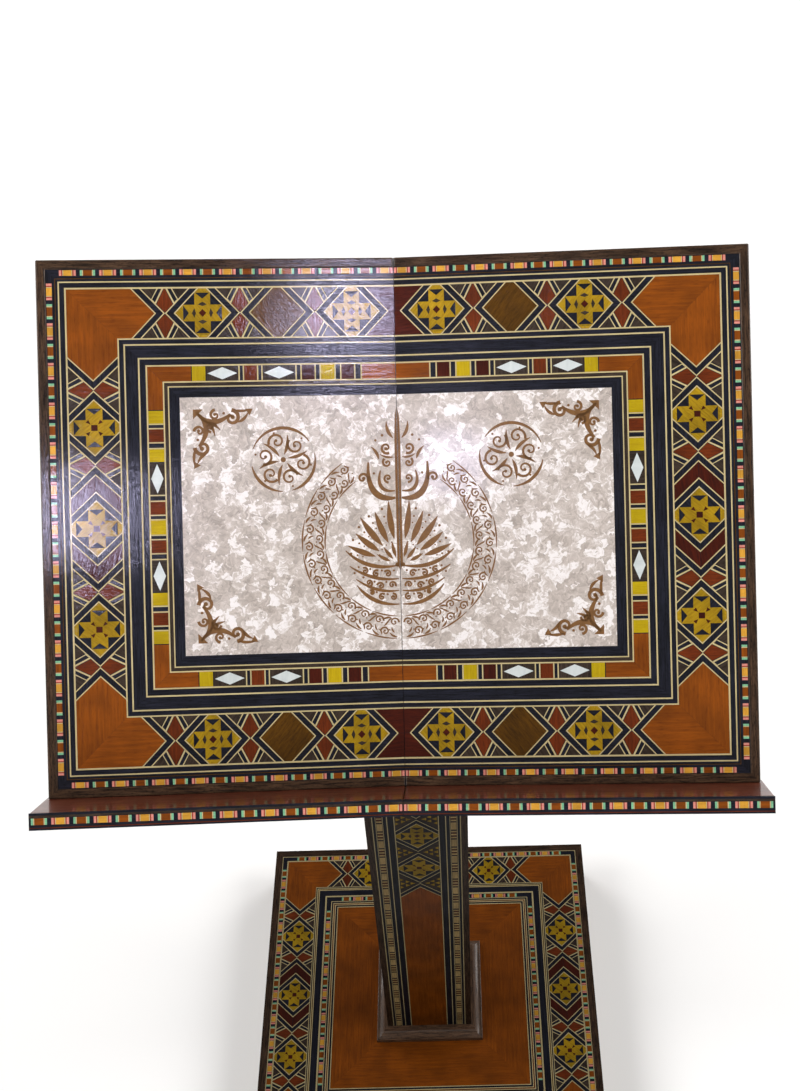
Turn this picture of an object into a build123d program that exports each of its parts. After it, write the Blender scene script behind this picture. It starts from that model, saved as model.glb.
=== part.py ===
from build123d import *
import math
import os

# Floor-standing Quran stand: a book rest of two leaves in a shallow V, on a square column and a
# square base, all of inlaid wood. Millimetres, +Z up. The origin is the centre of the base's
# underside, on the floor and on the column's axis. The reader stands on the -Y side.

# ---- book rest
LEAF_WIDTH = 250.0          # one leaf, from the centre seam to its outer edge
LEAF_HEIGHT = 377.0         # up the slope
LEAF_THICKNESS = 15.0       # core and face inlay together
REST_SLOPE = 44.0           # degrees between the book rest and the floor
LEAF_ANGLE = 4.5            # degrees that each leaf is turned towards the reader
SEAM_GAP = 0.4              # open joint between the two leaves
REST_CENTRE_HEIGHT = 814.0  # middle of the seam above the floor
REST_FORWARD = 10.0         # middle of the seam in front of the column's axis

# ---- inlay on the leaves, in order from the outer edge inwards
INLAY_THICKNESS = 1.2
LIPPING_WIDTH = 7.0
TILE_STRIP_WIDTH = 4.5
OUTER_STRINGING_WIDTH = 9.3
STAR_BAND_WIDTH = 34.6
INNER_STRINGING_WIDTH = 20.1
COLOUR_STRIP_WIDTH = 10.5
PEARL_FRAME_WIDTH = 11.5

# ---- ledge that holds the open book
LEDGE_DEPTH = 50.0          # in front of the leaves' face
LEDGE_THICKNESS = 11.5
LEDGE_OVERHANG = 2.5        # past each leaf's outer edge

# ---- carcass behind the leaves
SADDLE_WIDTH = 130.0
SADDLE_LENGTH = 190.0
SADDLE_THICKNESS = 25.0     # at the seam, between the leaves' back and the column
BATTEN_LENGTH = 360.0
BATTEN_WIDTH = 30.0
BATTEN_THICKNESS = 14.0     # at the seam
BATTEN_EDGE_MARGIN = 18.0   # from the leaf's top or bottom edge to the batten

# ---- column
COLUMN_WIDTH = 90.0         # square, with its inlay
COLUMN_BOARD = 12.0
BLOCK_CLEARANCE = 0.2       # glue line round the blocks inside the column
TOP_BLOCK_LENGTH = 90.0
FOOT_BLOCK_LENGTH = 60.0
MOULDING_HEIGHT = 14.0
MOULDING_DEPTH = 12.0
MOULDING_COVE_RADIUS = 8.4

# ---- base
BASE_WIDTH = 366.0          # square, with its inlay
BASE_HEIGHT = 62.0          # floor to top face
BASE_BOARD = 12.0
BASE_BOTTOM_BOARD = 6.0
FELT_THICKNESS = 2.0
FELT_MARGIN = 4.0
BASE_BORDER_WIDTH = 8.0
BASE_TILE_STRIP_WIDTH = 6.5
BASE_STAR_BAND_WIDTH = 36.0
BASE_BLACK_BAND_WIDTH = 12.0
BASE_INNER_STRIP_WIDTH = 14.5

# ---- wood screws
SCREW_SHANK_RADIUS = 2.0
SCREW_HEAD_RADIUS = 4.2
SCREW_HEAD_HEIGHT = 2.6
SCREW_CLEARANCE = 0.05
SCREW_HEAD_COVER = 1.0      # sunk below the saddle's ridge
BATTEN_SCREW_BITE = 9.0     # depth in the leaf's core
BATTEN_SCREW_INSETS = (40.0, 150.0)  # from the seam
SADDLE_SCREW_BITE = 35.0    # depth in the column's top block
SADDLE_SCREW_MARGIN = 6.0   # from the top block's front and rear faces to the screws
BLOCK_SCREW_INSET = 14.6    # from the blocks' side faces to the screws
FOOT_SCREW_BITE = 30.0      # depth in the column's foot block

# ---- worked out from the sizes above
SLOPE = math.radians(REST_SLOPE)
TURN = math.radians(LEAF_ANGLE)
CORE_FACE = -INLAY_THICKNESS                   # the core's face, behind the inlay's face
LEAF_BACK = LEAF_THICKNESS / math.cos(TURN)    # leaves' back behind the seam's front edge
SADDLE_BACK = LEAF_BACK + SADDLE_THICKNESS
BATTEN_BACK = LEAF_BACK + BATTEN_THICKNESS
COLUMN_CORE = COLUMN_WIDTH - 2 * INLAY_THICKNESS
COLUMN_INSIDE = COLUMN_CORE - 2 * COLUMN_BOARD
BASE_CORE = BASE_WIDTH - 2 * INLAY_THICKNESS
BASE_INSIDE = BASE_CORE - 2 * BASE_BOARD
BASE_TOP_BOARD_FACE = BASE_HEIGHT - INLAY_THICKNESS
BASE_TOP_BOARD_UNDER = BASE_TOP_BOARD_FACE - BASE_BOARD
FAR = 2000.0                                   # larger than the whole stand, for trimming

# The rest's own frame: X across, V up the slope, N out of the face towards the reader.
rest_plane = Plane(
    origin=(0, -REST_FORWARD, REST_CENTRE_HEIGHT),
    x_dir=(1, 0, 0),
    z_dir=(0, -math.sin(SLOPE), math.cos(SLOPE)),
)
# The right leaf's frame: the same, turned about the seam towards the reader, and with its
# origin at the seam's lower end.
leaf_frame = Location(rest_plane) * Rot(0, -LEAF_ANGLE, 0) * Pos(0, -LEAF_HEIGHT / 2, 0)
# Where the column's axis meets the saddle's back, measured up the slope from the rest's middle.
COLUMN_MEETS_SADDLE = (REST_FORWARD - SADDLE_BACK * math.sin(SLOPE)) / math.cos(SLOPE)


def box_between(low, high):
    """A box from its lowest corner to its highest."""
    size = [h - l for l, h in zip(low, high)]
    middle = [(h + l) / 2 for l, h in zip(low, high)]
    return Pos(*middle) * Box(*size)


def right_half(shape):
    """What lies to the right of the seam's open joint."""
    return shape & box_between((SEAM_GAP / 2, -FAR, -FAR), (FAR, FAR, FAR))


def on_right_leaf(low, high):
    """A box in the right leaf's frame, trimmed at the seam."""
    return right_half(leaf_frame * box_between(low, high))


def leaf_band(outer, inner, back, front):
    """A C-shaped band on the right leaf between two insets from its edges."""
    past_seam = -LEAF_THICKNESS
    band = box_between(
        (past_seam, outer, back),
        (LEAF_WIDTH - outer, LEAF_HEIGHT - outer, front),
    )
    window = box_between(
        (2 * past_seam, inner, back - 1),
        (LEAF_WIDTH - inner, LEAF_HEIGHT - inner, front + 1),
    )
    return right_half(leaf_frame * (band - window))


def rest_prism(outline, low_v, high_v):
    """An outline in the rest's X and N directions, carried up the slope."""
    face = make_face(Polyline(*outline, close=True))
    upright = Rot(90, 0, 0) * extrude(face, high_v - low_v)
    return Location(rest_plane) * Pos(0, high_v, 0) * upright


def v_backed(half_length, back, low_v, high_v):
    """A bar that fills the V behind the leaves and has a flat back."""
    rise = half_length * math.tan(TURN)
    outline = [
        (-half_length, -back),
        (half_length, -back),
        (half_length, rise - LEAF_BACK),
        (0, -LEAF_BACK),
        (-half_length, rise - LEAF_BACK),
    ]
    return rest_prism(outline, low_v, high_v)


def square_ring(outer, inner, low_z, high_z):
    """A square ring on the base's top, between two insets from its edge."""
    ring = Box(BASE_WIDTH - 2 * outer, BASE_WIDTH - 2 * outer, high_z - low_z)
    hole = Box(BASE_WIDTH - 2 * inner, BASE_WIDTH - 2 * inner, 2 * (high_z - low_z))
    return Pos(0, 0, (low_z + high_z) / 2) * (ring - hole)


def screw(length):
    """A wood screw that points along +Z, with its head's underside at the origin."""
    thread = Pos(0, 0, length / 2) * Cylinder(SCREW_SHANK_RADIUS, length)
    head = Pos(0, 0, -SCREW_HEAD_HEIGHT / 2) * Cylinder(SCREW_HEAD_RADIUS, SCREW_HEAD_HEIGHT)
    return fillet(thread.edges().group_by(Axis.Z)[-1], SCREW_SHANK_RADIUS / 2) + head


def screw_room(length):
    """The hole that a screw's thread leaves, from its head's underside on."""
    radius = SCREW_SHANK_RADIUS + SCREW_CLEARANCE
    room = length + SCREW_CLEARANCE
    return Pos(0, 0, room / 2) * Cylinder(radius, room)


def screw_head_room():
    """A counterbore for a screw's head, open towards -Z."""
    radius = SCREW_HEAD_RADIUS + SCREW_CLEARANCE
    depth = LEAF_THICKNESS + SADDLE_THICKNESS
    return Pos(0, 0, -depth / 2) * Cylinder(radius, depth)


nodes = {}

# ---- leaves, ledge and their inlay: the right side is built, and the left is its mirror image
insets = [0.0]
for width in (
    LIPPING_WIDTH,
    TILE_STRIP_WIDTH,
    OUTER_STRINGING_WIDTH,
    STAR_BAND_WIDTH,
    INNER_STRINGING_WIDTH,
    COLOUR_STRIP_WIDTH,
    PEARL_FRAME_WIDTH,
):
    insets.append(insets[-1] + width)

right_side = {}
right_side["leaf_core"] = on_right_leaf(
    (-LEAF_THICKNESS, LIPPING_WIDTH, -LEAF_THICKNESS),
    (LEAF_WIDTH - LIPPING_WIDTH, LEAF_HEIGHT - LIPPING_WIDTH, CORE_FACE),
)
right_side["leaf_lipping"] = leaf_band(insets[0], insets[1], -LEAF_THICKNESS, 0)
band_names = (
    "tile_strip",
    "outer_stringing",
    "star_band",
    "inner_stringing",
    "colour_strip",
    "pearl_frame",
)
for position, name in enumerate(band_names, start=1):
    right_side[name] = leaf_band(insets[position], insets[position + 1], CORE_FACE, 0)
plate_inset = insets[-1]
right_side["pearl_plate"] = on_right_leaf(
    (-LEAF_THICKNESS, plate_inset, CORE_FACE),
    (LEAF_WIDTH - plate_inset, LEAF_HEIGHT - plate_inset, 0),
)
ledge_front = LEDGE_DEPTH - INLAY_THICKNESS
ledge_end = LEAF_WIDTH + LEDGE_OVERHANG
right_side["ledge"] = on_right_leaf(
    (-LEDGE_DEPTH, -LEDGE_THICKNESS, -LEAF_THICKNESS),
    (ledge_end, 0, ledge_front),
)
right_side["ledge_strip"] = on_right_leaf(
    (-LEDGE_DEPTH, -LEDGE_THICKNESS, ledge_front),
    (ledge_end, 0, LEDGE_DEPTH),
)

# ---- battens and saddle behind the leaves
batten_low = BATTEN_EDGE_MARGIN - LEAF_HEIGHT / 2
batten_high = LEAF_HEIGHT / 2 - BATTEN_EDGE_MARGIN - BATTEN_WIDTH
battens = {}
for name, low_v in (("lower_batten", batten_low), ("upper_batten", batten_high)):
    battens[name] = v_backed(BATTEN_LENGTH / 2, BATTEN_BACK, low_v, low_v + BATTEN_WIDTH)
saddle_low = COLUMN_MEETS_SADDLE - SADDLE_LENGTH / 2
saddle_high = COLUMN_MEETS_SADDLE + SADDLE_LENGTH / 2
saddle = v_backed(SADDLE_WIDTH / 2, SADDLE_BACK, saddle_low, saddle_high)

# Screws through the battens into the leaves' cores, with their heads behind the battens.
batten_screw_length = {}
batten_screws = []
for name, low_v in (("lower_batten", batten_low), ("upper_batten", batten_high)):
    for inset in BATTEN_SCREW_INSETS:
        through_batten = BATTEN_THICKNESS + inset * math.tan(TURN)
        length = through_batten + BATTEN_SCREW_BITE
        for side in (-1, 1):
            place = Location(rest_plane) * Pos(side * inset, low_v + BATTEN_WIDTH / 2, -BATTEN_BACK)
            batten_screws.append(place * screw(length))
            room = place * screw_room(length)
            battens[name] = battens[name] - room
            if side > 0:
                right_side["leaf_core"] = right_side["leaf_core"] - room

# ---- column: a box of four boards, cut to the saddle's slope at its top
above_slope = Location(rest_plane) * box_between((-FAR, -FAR, -SADDLE_BACK), (FAR, FAR, FAR))
half_core = COLUMN_CORE / 2
half_inside = COLUMN_INSIDE / 2
half_column = COLUMN_WIDTH / 2
column_sides = {
    "front": 0,
    "right": 90,
    "rear": 180,
    "left": 270,
}
for side, turn in column_sides.items():
    board_half = half_core if side in ("front", "rear") else half_inside
    board = box_between((-board_half, -half_core, BASE_HEIGHT), (board_half, -half_inside, FAR))
    inlay_half = half_column if side in ("front", "rear") else half_core
    inlay = box_between((-inlay_half, -half_column, BASE_HEIGHT), (inlay_half, -half_core, FAR))
    nodes[f"column_{side}_board"] = Rot(0, 0, turn) * board - above_slope
    nodes[f"column_{side}_marquetry"] = Rot(0, 0, turn) * inlay - above_slope

# Blocks glued inside both ends of the column.
half_block = half_inside - BLOCK_CLEARANCE
slope_fall = half_block * math.tan(SLOPE)
axis_top = REST_CENTRE_HEIGHT + COLUMN_MEETS_SADDLE * math.sin(SLOPE) - SADDLE_BACK * math.cos(SLOPE)
top_block = box_between(
    (-half_block, -half_block, axis_top - slope_fall - TOP_BLOCK_LENGTH),
    (half_block, half_block, FAR),
) - above_slope
foot_block = box_between(
    (-half_block, -half_block, BASE_HEIGHT),
    (half_block, half_block, BASE_HEIGHT + FOOT_BLOCK_LENGTH),
)

# Screws through the saddle into the top block, with their heads in counterbores. They lean
# backwards on their way down, so the rear pair starts further forward and ends inside the block.
saddle_screws = []
head_depth = SCREW_HEAD_HEIGHT + SCREW_HEAD_COVER
screw_offset = half_block - BLOCK_SCREW_INSET
front_row = SADDLE_SCREW_MARGIN - half_block
rear_row = half_block - SADDLE_SCREW_MARGIN - SADDLE_SCREW_BITE * math.sin(SLOPE)
for side_x in (-1, 1):
    for row in (front_row, rear_row):
        place = (
            Location(rest_plane)
            * Pos(
                side_x * screw_offset,
                COLUMN_MEETS_SADDLE + row / math.cos(SLOPE),
                -LEAF_BACK - head_depth,
            )
            * Rot(180, 0, 0)
        )
        length = SADDLE_THICKNESS - head_depth + SADDLE_SCREW_BITE
        saddle_screws.append(place * screw(length))
        saddle = saddle - place * screw_room(length) - place * screw_head_room()
        top_block = top_block - place * screw_room(length)

# Cove moulding round the column's foot: four mitred lengths with a hollow face.
foot_moulding = []
outer_half = half_column + MOULDING_DEPTH
for turn in column_sides.values():
    length = box_between(
        (-outer_half, -outer_half, BASE_HEIGHT),
        (outer_half, -half_column, BASE_HEIGHT + MOULDING_HEIGHT),
    )
    cove = (
        Pos(0, -outer_half, BASE_HEIGHT + MOULDING_HEIGHT)
        * Rot(0, 90, 0)
        * Cylinder(MOULDING_COVE_RADIUS, 4 * outer_half)
    )
    wedge = extrude(
        Pos(0, 0, BASE_HEIGHT) * make_face(Polyline((0, 0), (-FAR, -FAR), (FAR, -FAR), close=True)),
        MOULDING_HEIGHT,
    )
    foot_moulding.append(Rot(0, 0, turn) * ((length - cove) & wedge))

# ---- base: a box of boards under an inlaid top
base_half = BASE_CORE / 2
inside_half = BASE_INSIDE / 2
top_board = box_between(
    (-base_half, -base_half, BASE_TOP_BOARD_UNDER),
    (base_half, base_half, BASE_TOP_BOARD_FACE),
)
for side, turn in column_sides.items():
    board_half = base_half if side in ("front", "rear") else inside_half
    board = box_between(
        (-board_half, -base_half, FELT_THICKNESS),
        (board_half, -inside_half, BASE_TOP_BOARD_UNDER),
    )
    inlay_half = BASE_WIDTH / 2 if side in ("front", "rear") else base_half
    inlay = box_between(
        (-inlay_half, -BASE_WIDTH / 2, FELT_THICKNESS),
        (inlay_half, -base_half, BASE_TOP_BOARD_FACE),
    )
    nodes[f"base_{side}_board"] = Rot(0, 0, turn) * board
    nodes[f"base_{side}_marquetry"] = Rot(0, 0, turn) * inlay
nodes["base_bottom_board"] = box_between(
    (-inside_half, -inside_half, FELT_THICKNESS),
    (inside_half, inside_half, FELT_THICKNESS + BASE_BOTTOM_BOARD),
)
felt_half = BASE_WIDTH / 2 - FELT_MARGIN
nodes["base_felt"] = box_between(
    (-felt_half, -felt_half, 0),
    (felt_half, felt_half, FELT_THICKNESS),
)

base_bands = (
    ("base_border", BASE_BORDER_WIDTH),
    ("base_tile_strip", BASE_TILE_STRIP_WIDTH),
    ("base_star_band", BASE_STAR_BAND_WIDTH),
    ("base_black_band", BASE_BLACK_BAND_WIDTH),
    ("base_inner_strip", BASE_INNER_STRIP_WIDTH),
)
inset = 0.0
for name, width in base_bands:
    nodes[name] = square_ring(inset, inset + width, BASE_TOP_BOARD_FACE, BASE_HEIGHT)
    inset = inset + width
field_half = BASE_WIDTH / 2 - inset
base_field = box_between(
    (-field_half, -field_half, BASE_TOP_BOARD_FACE),
    (field_half, field_half, BASE_HEIGHT),
)

# Screws from under the base's top board into the column's foot block.
foot_screws = []
for side_x in (-1, 1):
    for side_y in (-1, 1):
        place = Pos(side_x * screw_offset, side_y * screw_offset, BASE_TOP_BOARD_UNDER)
        length = BASE_HEIGHT - BASE_TOP_BOARD_UNDER + FOOT_SCREW_BITE
        foot_screws.append(place * screw(length))
        room = place * screw_room(length)
        top_board = top_board - room
        base_field = base_field - room
        foot_block = foot_block - room

for name, shape in right_side.items():
    nodes[f"right_{name}"] = shape
    nodes[f"left_{name}"] = mirror(shape, about=Plane.YZ)
nodes.update(battens)
nodes["head_saddle"] = saddle
nodes["batten_screws"] = Compound(children=batten_screws)
nodes["saddle_screws"] = Compound(children=saddle_screws)
nodes["column_top_block"] = top_block
nodes["column_foot_block"] = foot_block
nodes["column_foot_moulding"] = Compound(children=foot_moulding)
nodes["foot_screws"] = Compound(children=foot_screws)
nodes["base_top_board"] = top_board
nodes["base_field"] = base_field

os.makedirs("parts", exist_ok=True)
for name, shape in nodes.items():
    export_step(shape, f"parts/{name}.step")
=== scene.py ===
"""Looks of the inlaid Quran stand: its inlay slip by slip, its pearl plates, varnished wood and stage."""

import math

import bmesh
import bpy
import numpy as np
from mathutils import Matrix, Vector


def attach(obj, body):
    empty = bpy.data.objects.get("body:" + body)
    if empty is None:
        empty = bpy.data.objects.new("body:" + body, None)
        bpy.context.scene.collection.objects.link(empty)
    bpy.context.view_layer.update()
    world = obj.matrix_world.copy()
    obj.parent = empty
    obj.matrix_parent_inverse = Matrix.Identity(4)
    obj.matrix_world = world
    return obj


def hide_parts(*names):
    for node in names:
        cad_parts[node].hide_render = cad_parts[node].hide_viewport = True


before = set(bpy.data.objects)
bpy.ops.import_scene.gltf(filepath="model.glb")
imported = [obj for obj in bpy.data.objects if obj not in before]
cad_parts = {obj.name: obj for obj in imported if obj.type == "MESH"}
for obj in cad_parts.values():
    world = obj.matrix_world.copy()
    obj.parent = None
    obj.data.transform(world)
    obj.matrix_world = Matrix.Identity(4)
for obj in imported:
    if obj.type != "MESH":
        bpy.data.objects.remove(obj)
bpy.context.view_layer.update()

bl_info = {
    "name": "Inlaid Quran Stand",
    "version": (1, 0, 0),
    "blender": (4, 5, 0),
    "location": "View3D > Sidebar > Stand",
    "description": "Builds the inlay, pearl plates, wood and stage of a floor-standing Quran stand",
    "category": "Object",
}

MM = 0.001
BODY = "root"
QUARTER = math.pi / 2
DICE = np.random.default_rng(44)

# ---------------------------------------------------------------- sizes of the stand, in mm

LEAF_WIDTH = 250.0
HALF_LEAF = 188.5
SLOPE = math.radians(44.0)
TURN = math.radians(4.5)
REST_CENTRE = np.array([0.0, -10.0, 814.0])
SEAM = 0.2 / math.cos(TURN)
LEDGE_DEPTH = 50.0
LEDGE_THICKNESS = 11.5
LEDGE_END = 252.5
LEDGE_SEAM = (0.2 + LEDGE_DEPTH * math.sin(TURN)) / math.cos(TURN)
COLUMN_HALF = 45.0
COLUMN_TOP = 767.98
BASE_HALF = 183.0
BASE_TOP = 62.0
BASE_SIDE_LOW = 2.0
BASE_SIDE_HIGH = 60.8
INLAY_DEPTH = 1.2

# Heights of the slips' faces under the stand's own face, in mm: the black filler that shows in the
# glue lines lies lowest, and small slips let into larger ones lie highest.
FILLER = -0.09
FLUSH = -0.03
LET_IN = 0.0
SLIP_DEPTH = 0.7
FILLER_DEPTH = INLAY_DEPTH + FILLER
ENGRAVED_DEPTH = 0.25

# Gaps in mm: at the edges of lines and tiles, round a block, beside a black line between two white
# ones, and round a field.
LINE_GAP = 0.03
BLOCK_GAP = 0.05
JOINT = 0.08
FIELD_GAP = 0.1
MIRROR = (1.0, -1.0)

# ---------------------------------------------------------------- the faces that carry inlay


class Face:
    """A flat face: a point in mm, its two directions in the face, and the direction out of it."""

    def __init__(self, origin, along, up):
        self.origin = np.array(origin, dtype=float)
        self.along = np.array(along, dtype=float)
        self.up = np.array(up, dtype=float)
        self.out = np.cross(self.along, self.up)
        self.mirrored = False

    def facing(self, out):
        """The same face, with its outward direction set when the two directions are left-handed."""
        self.mirrored = float(np.dot(self.out, out)) < 0
        self.out = np.array(out, dtype=float)
        return self

    def place(self, flat, height):
        """Points in metres from points in the face's own mm and heights above it."""
        flat = np.asarray(flat, dtype=float)
        reach = flat[..., :1] * self.along + flat[..., 1:2] * self.up
        return (self.origin + reach + np.asarray(height, dtype=float)[..., None] * self.out) * MM


def leaf_face(side):
    """The reading face of a leaf: across from the seam, and up the slope from mid-height."""
    along = (side * math.cos(TURN), -math.sin(TURN) * math.sin(SLOPE), math.sin(TURN) * math.cos(SLOPE))
    up = (0.0, math.cos(SLOPE), math.sin(SLOPE))
    out = (-side * math.sin(TURN), -math.cos(TURN) * math.sin(SLOPE), math.cos(TURN) * math.cos(SLOPE))
    return Face(REST_CENTRE, along, up).facing(out)


def ledge_face(side):
    """The front edge of a ledge half: across from the seam, and up from the leaf's lower edge."""
    leaf = leaf_face(side)
    origin = leaf.origin - HALF_LEAF * leaf.up + LEDGE_DEPTH * leaf.out
    return Face(origin, leaf.along, leaf.up).facing(leaf.out)


def upright_face(turn, reach):
    """A vertical face at a distance from the stand's axis: across it, and up from the floor."""
    across = (math.cos(turn), math.sin(turn), 0.0)
    out = (math.sin(turn), -math.cos(turn), 0.0)
    return Face(np.array(out) * reach, across, (0.0, 0.0, 1.0)).facing(out)


def base_top_face():
    """The top of the base: across and rearward from its middle."""
    return Face((0.0, 0.0, BASE_TOP), (1.0, 0.0, 0.0), (0.0, 1.0, 0.0)).facing((0.0, 0.0, 1.0))


SIDES = {"right": 1, "left": -1}
QUARTER_TURNS = {"front": 0.0, "right": QUARTER, "rear": 2 * QUARTER, "left": 3 * QUARTER}

# ---------------------------------------------------------------- slips

def stacked(outlines):
    """Outlines as one array of all their corners, also when only one is given."""
    outlines = np.asarray(outlines, dtype=float)
    return outlines[None] if outlines.ndim == 2 else outlines


def stand_piece(name, mesh, nodes):
    """The object of a mesh, which rides on the stand in place of its CAD solids."""
    piece = bpy.data.objects.new(name, mesh)
    bpy.context.scene.collection.objects.link(piece)
    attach(piece, BODY)
    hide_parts(*nodes)
    return piece

class Marquetry:
    """Slips laid on one face: closed prisms, each with its finish and its own grain direction."""

    # A tone below 1 paints shade on the wood of every slip.
    def __init__(self, face, tone=1.0):
        self.face = face
        self.tone = tone
        self.points = []
        self.faces = []
        self.finishes = []
        self.grains = []
        self.count = 0

    def lay(self, finish, outlines, height=FLUSH, grain=0.0, depth=SLIP_DEPTH):
        """Prisms from convex outlines of equal corner count.

        Outlines that run clockwise are turned round by the sign of their area. Grain is the angle
        of the wood's grain from the face's first direction, and each slip is cut from its own
        place in the wood, so its pattern is shifted at random.
        """
        outlines = stacked(outlines)
        number, corners = outlines.shape[:2]
        if number == 0:
            return
        following = np.roll(outlines, -1, axis=1)
        area = (outlines[..., 0] * following[..., 1] - outlines[..., 1] * following[..., 0]).sum(axis=1)
        clockwise = (area < 0) != self.face.mirrored
        outlines = np.where(clockwise[:, None, None], outlines[:, ::-1], outlines)
        top = self.face.place(outlines, np.full((number, corners), height))
        bottom = self.face.place(outlines, np.full((number, corners), height - depth))
        first = self.count + np.arange(number)[:, None] * 2 * corners
        ring = np.arange(corners)
        nxt = np.roll(ring, -1)
        walls = np.stack([first + corners + ring, first + corners + nxt, first + nxt, first + ring], axis=2)
        turn = np.broadcast_to(np.asarray(grain, dtype=float), (number,))
        flat = np.concatenate([outlines, outlines], axis=1)
        self.points.append(np.concatenate([top, bottom], axis=1).reshape(-1, 3))
        self.grains.append(grain_points(flat, turn).reshape(-1, 2))
        self.faces += (first + ring).tolist() + (first + corners + ring[::-1]).tolist()
        self.faces += walls.reshape(-1, 4).tolist()
        self.finishes += [finish] * (number * (2 + corners))
        self.count += number * 2 * corners

    def stroke(self, finish, path, width):
        """One engraved stroke: a bar of changing width that follows a path, closed at both ends."""
        path = np.asarray(path, dtype=float)
        ahead = np.gradient(path, axis=0)
        ahead /= np.linalg.norm(ahead, axis=1)[:, None] + 1e-9
        aside = np.stack([-ahead[:, 1], ahead[:, 0]], axis=1) * np.asarray(width)[:, None] / 2
        section = np.stack([path - aside, path + aside, path + aside, path - aside], axis=1)
        low = LET_IN - ENGRAVED_DEPTH
        heights = np.tile([LET_IN, LET_IN, low, low], (len(path), 1))
        first = self.count + np.arange(len(path) - 1)[:, None] * 4
        ring = np.arange(4)
        nxt = np.roll(ring, -1)
        walls = np.stack([first + ring, first + 4 + ring, first + 4 + nxt, first + nxt], axis=2)
        last = self.count + (len(path) - 1) * 4
        faces = walls.reshape(-1, 4).tolist()
        faces += [[self.count + i for i in (0, 1, 2, 3)], [last + i for i in (3, 2, 1, 0)]]
        if self.face.mirrored:
            faces = [face[::-1] for face in faces]
        self.points.append(self.face.place(section, heights).reshape(-1, 3))
        self.grains.append(grain_points(section.reshape(1, -1, 2), np.zeros(1)).reshape(-1, 2))
        self.faces += faces
        self.finishes += [finish] * len(faces)
        self.count += len(path) * 4

    def finish_piece(self, node, slot):
        """The mesh object of all the slips, in place of their CAD solid."""
        name = node.removesuffix("_marquetry") + "_inlay"
        names = sorted(set(self.finishes))
        mesh = bpy.data.meshes.new(name)
        mesh.from_pydata(np.concatenate(self.points).tolist(), [], self.faces)
        for finish in names:
            mesh.materials.append(finished(finish, self.tone))
        order = {finish: i for i, finish in enumerate(names)}
        mesh.polygons.foreach_set("material_index", [order[finish] for finish in self.finishes])
        corner_points = np.empty(len(mesh.loops), dtype=np.int32)
        mesh.loops.foreach_get("vertex_index", corner_points)
        layer = mesh.uv_layers.new(name="grain")
        layer.data.foreach_set("uv", np.concatenate(self.grains)[corner_points].ravel())
        mesh.update()
        stand_piece(name, mesh, [node])


def grain_points(flat, turn):
    """Where each corner lies in the wood it was cut from, in metres, with the grain along the first axis."""
    cos, sin = np.cos(turn)[:, None], np.sin(turn)[:, None]
    x, y = flat[..., 0], flat[..., 1]
    shift = DICE.uniform(0.0, 1.0, (len(flat), 1, 2))
    return np.stack([x * cos + y * sin, -x * sin + y * cos], axis=-1) * MM + shift


# ---------------------------------------------------------------- shapes in the face's own mm

def flipped(outlines, across=True, along=True):
    """The outlines with their mirror images across and along the axes."""
    outlines = stacked(outlines)
    if across:
        outlines = np.concatenate([outlines, outlines * MIRROR])
    if along:
        outlines = np.concatenate([outlines, outlines * [-1.0, 1.0]])
    return outlines


def moved(outlines, centre, turn=0.0):
    """The outlines turned about the origin, then moved to a centre."""
    cos, sin = math.cos(turn), math.sin(turn)
    return np.asarray(outlines, dtype=float) @ np.array([[cos, sin], [-sin, cos]]) + np.asarray(centre)


def bar(low, high):
    """A rectangle from its low corner to its high corner."""
    return np.array([[low[0], low[1]], [high[0], low[1]], [high[0], high[1]], [low[0], high[1]]], dtype=float)


def lay_leaf_run(marquetry, finish, outer, inner, height=FLUSH, depth=SLIP_DEPTH):
    """One line or band round a leaf: mitred bars along its top, foot and outer edge."""
    far, near = LEAF_WIDTH - outer, LEAF_WIDTH - inner
    high, low = HALF_LEAF - outer, HALF_LEAF - inner
    top = np.array([[SEAM, low], [near, low], [far, high], [SEAM, high]])
    edge = np.array([[near, -low], [far, -high], [far, high], [near, low]])
    marquetry.lay(finish, [top, top * MIRROR], height, 0.0, depth)
    marquetry.lay(finish, edge, height, QUARTER, depth)


def lay_ring(marquetry, finish, outer, inner, height=FLUSH, depth=SLIP_DEPTH):
    """Four mitred bars round the base's top between two insets."""
    a, b = BASE_HALF - outer, BASE_HALF - inner
    level = np.array([[-b, b], [b, b], [a, a], [-a, a]])
    marquetry.lay(finish, [level, level * MIRROR], height, 0.0, depth)
    upright = level[:, ::-1]
    marquetry.lay(finish, [upright, upright * [-1.0, 1.0]], height, QUARTER, depth)


# One repeat of the star band, along the band and across it from its mid-line. The lozenge's edge
# runs inward by LEAN for each mm across, and its border is white, black and white.
LEAN = 0.945
BAND_HALF = 17.3
STAR_HALF = 19.0
STAR_RISE = 20.1
BORDER_WHITE = 1.05
BORDER_BLACK = 5.1
BORDER = 2 * BORDER_WHITE + BORDER_BLACK
UNIT_PITCH = 2 * (STAR_HALF + BORDER)
CHEVRON_WIDTH = 11.1
# The border of a pointed field: each line's finish, and its two edges in mm from one side of the
# border.
POINT_BORDER = (
    ("white_wood", BORDER, BORDER - BORDER_WHITE),
    ("black_wood", BORDER - BORDER_WHITE - JOINT, BORDER_WHITE + JOINT),
    ("white_wood", BORDER_WHITE, 0.0),
)


def lozenge_strip(inner, outer, half):
    """Four slips between two lozenge outlines, cut off at the band's edges."""
    lean = LEAN * half
    slip = np.array([[inner, 0.0], [outer, 0.0], [outer - lean, half], [inner - lean, half]])
    return flipped(slip)


def lozenge(tip, half):
    """A lozenge cut off at the band's edges."""
    lean = LEAN * half
    return np.array([[tip, 0.0], [tip - lean, half], [lean - tip, half], [-tip, 0.0],
                     [lean - tip, -half], [tip - lean, -half]])


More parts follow.
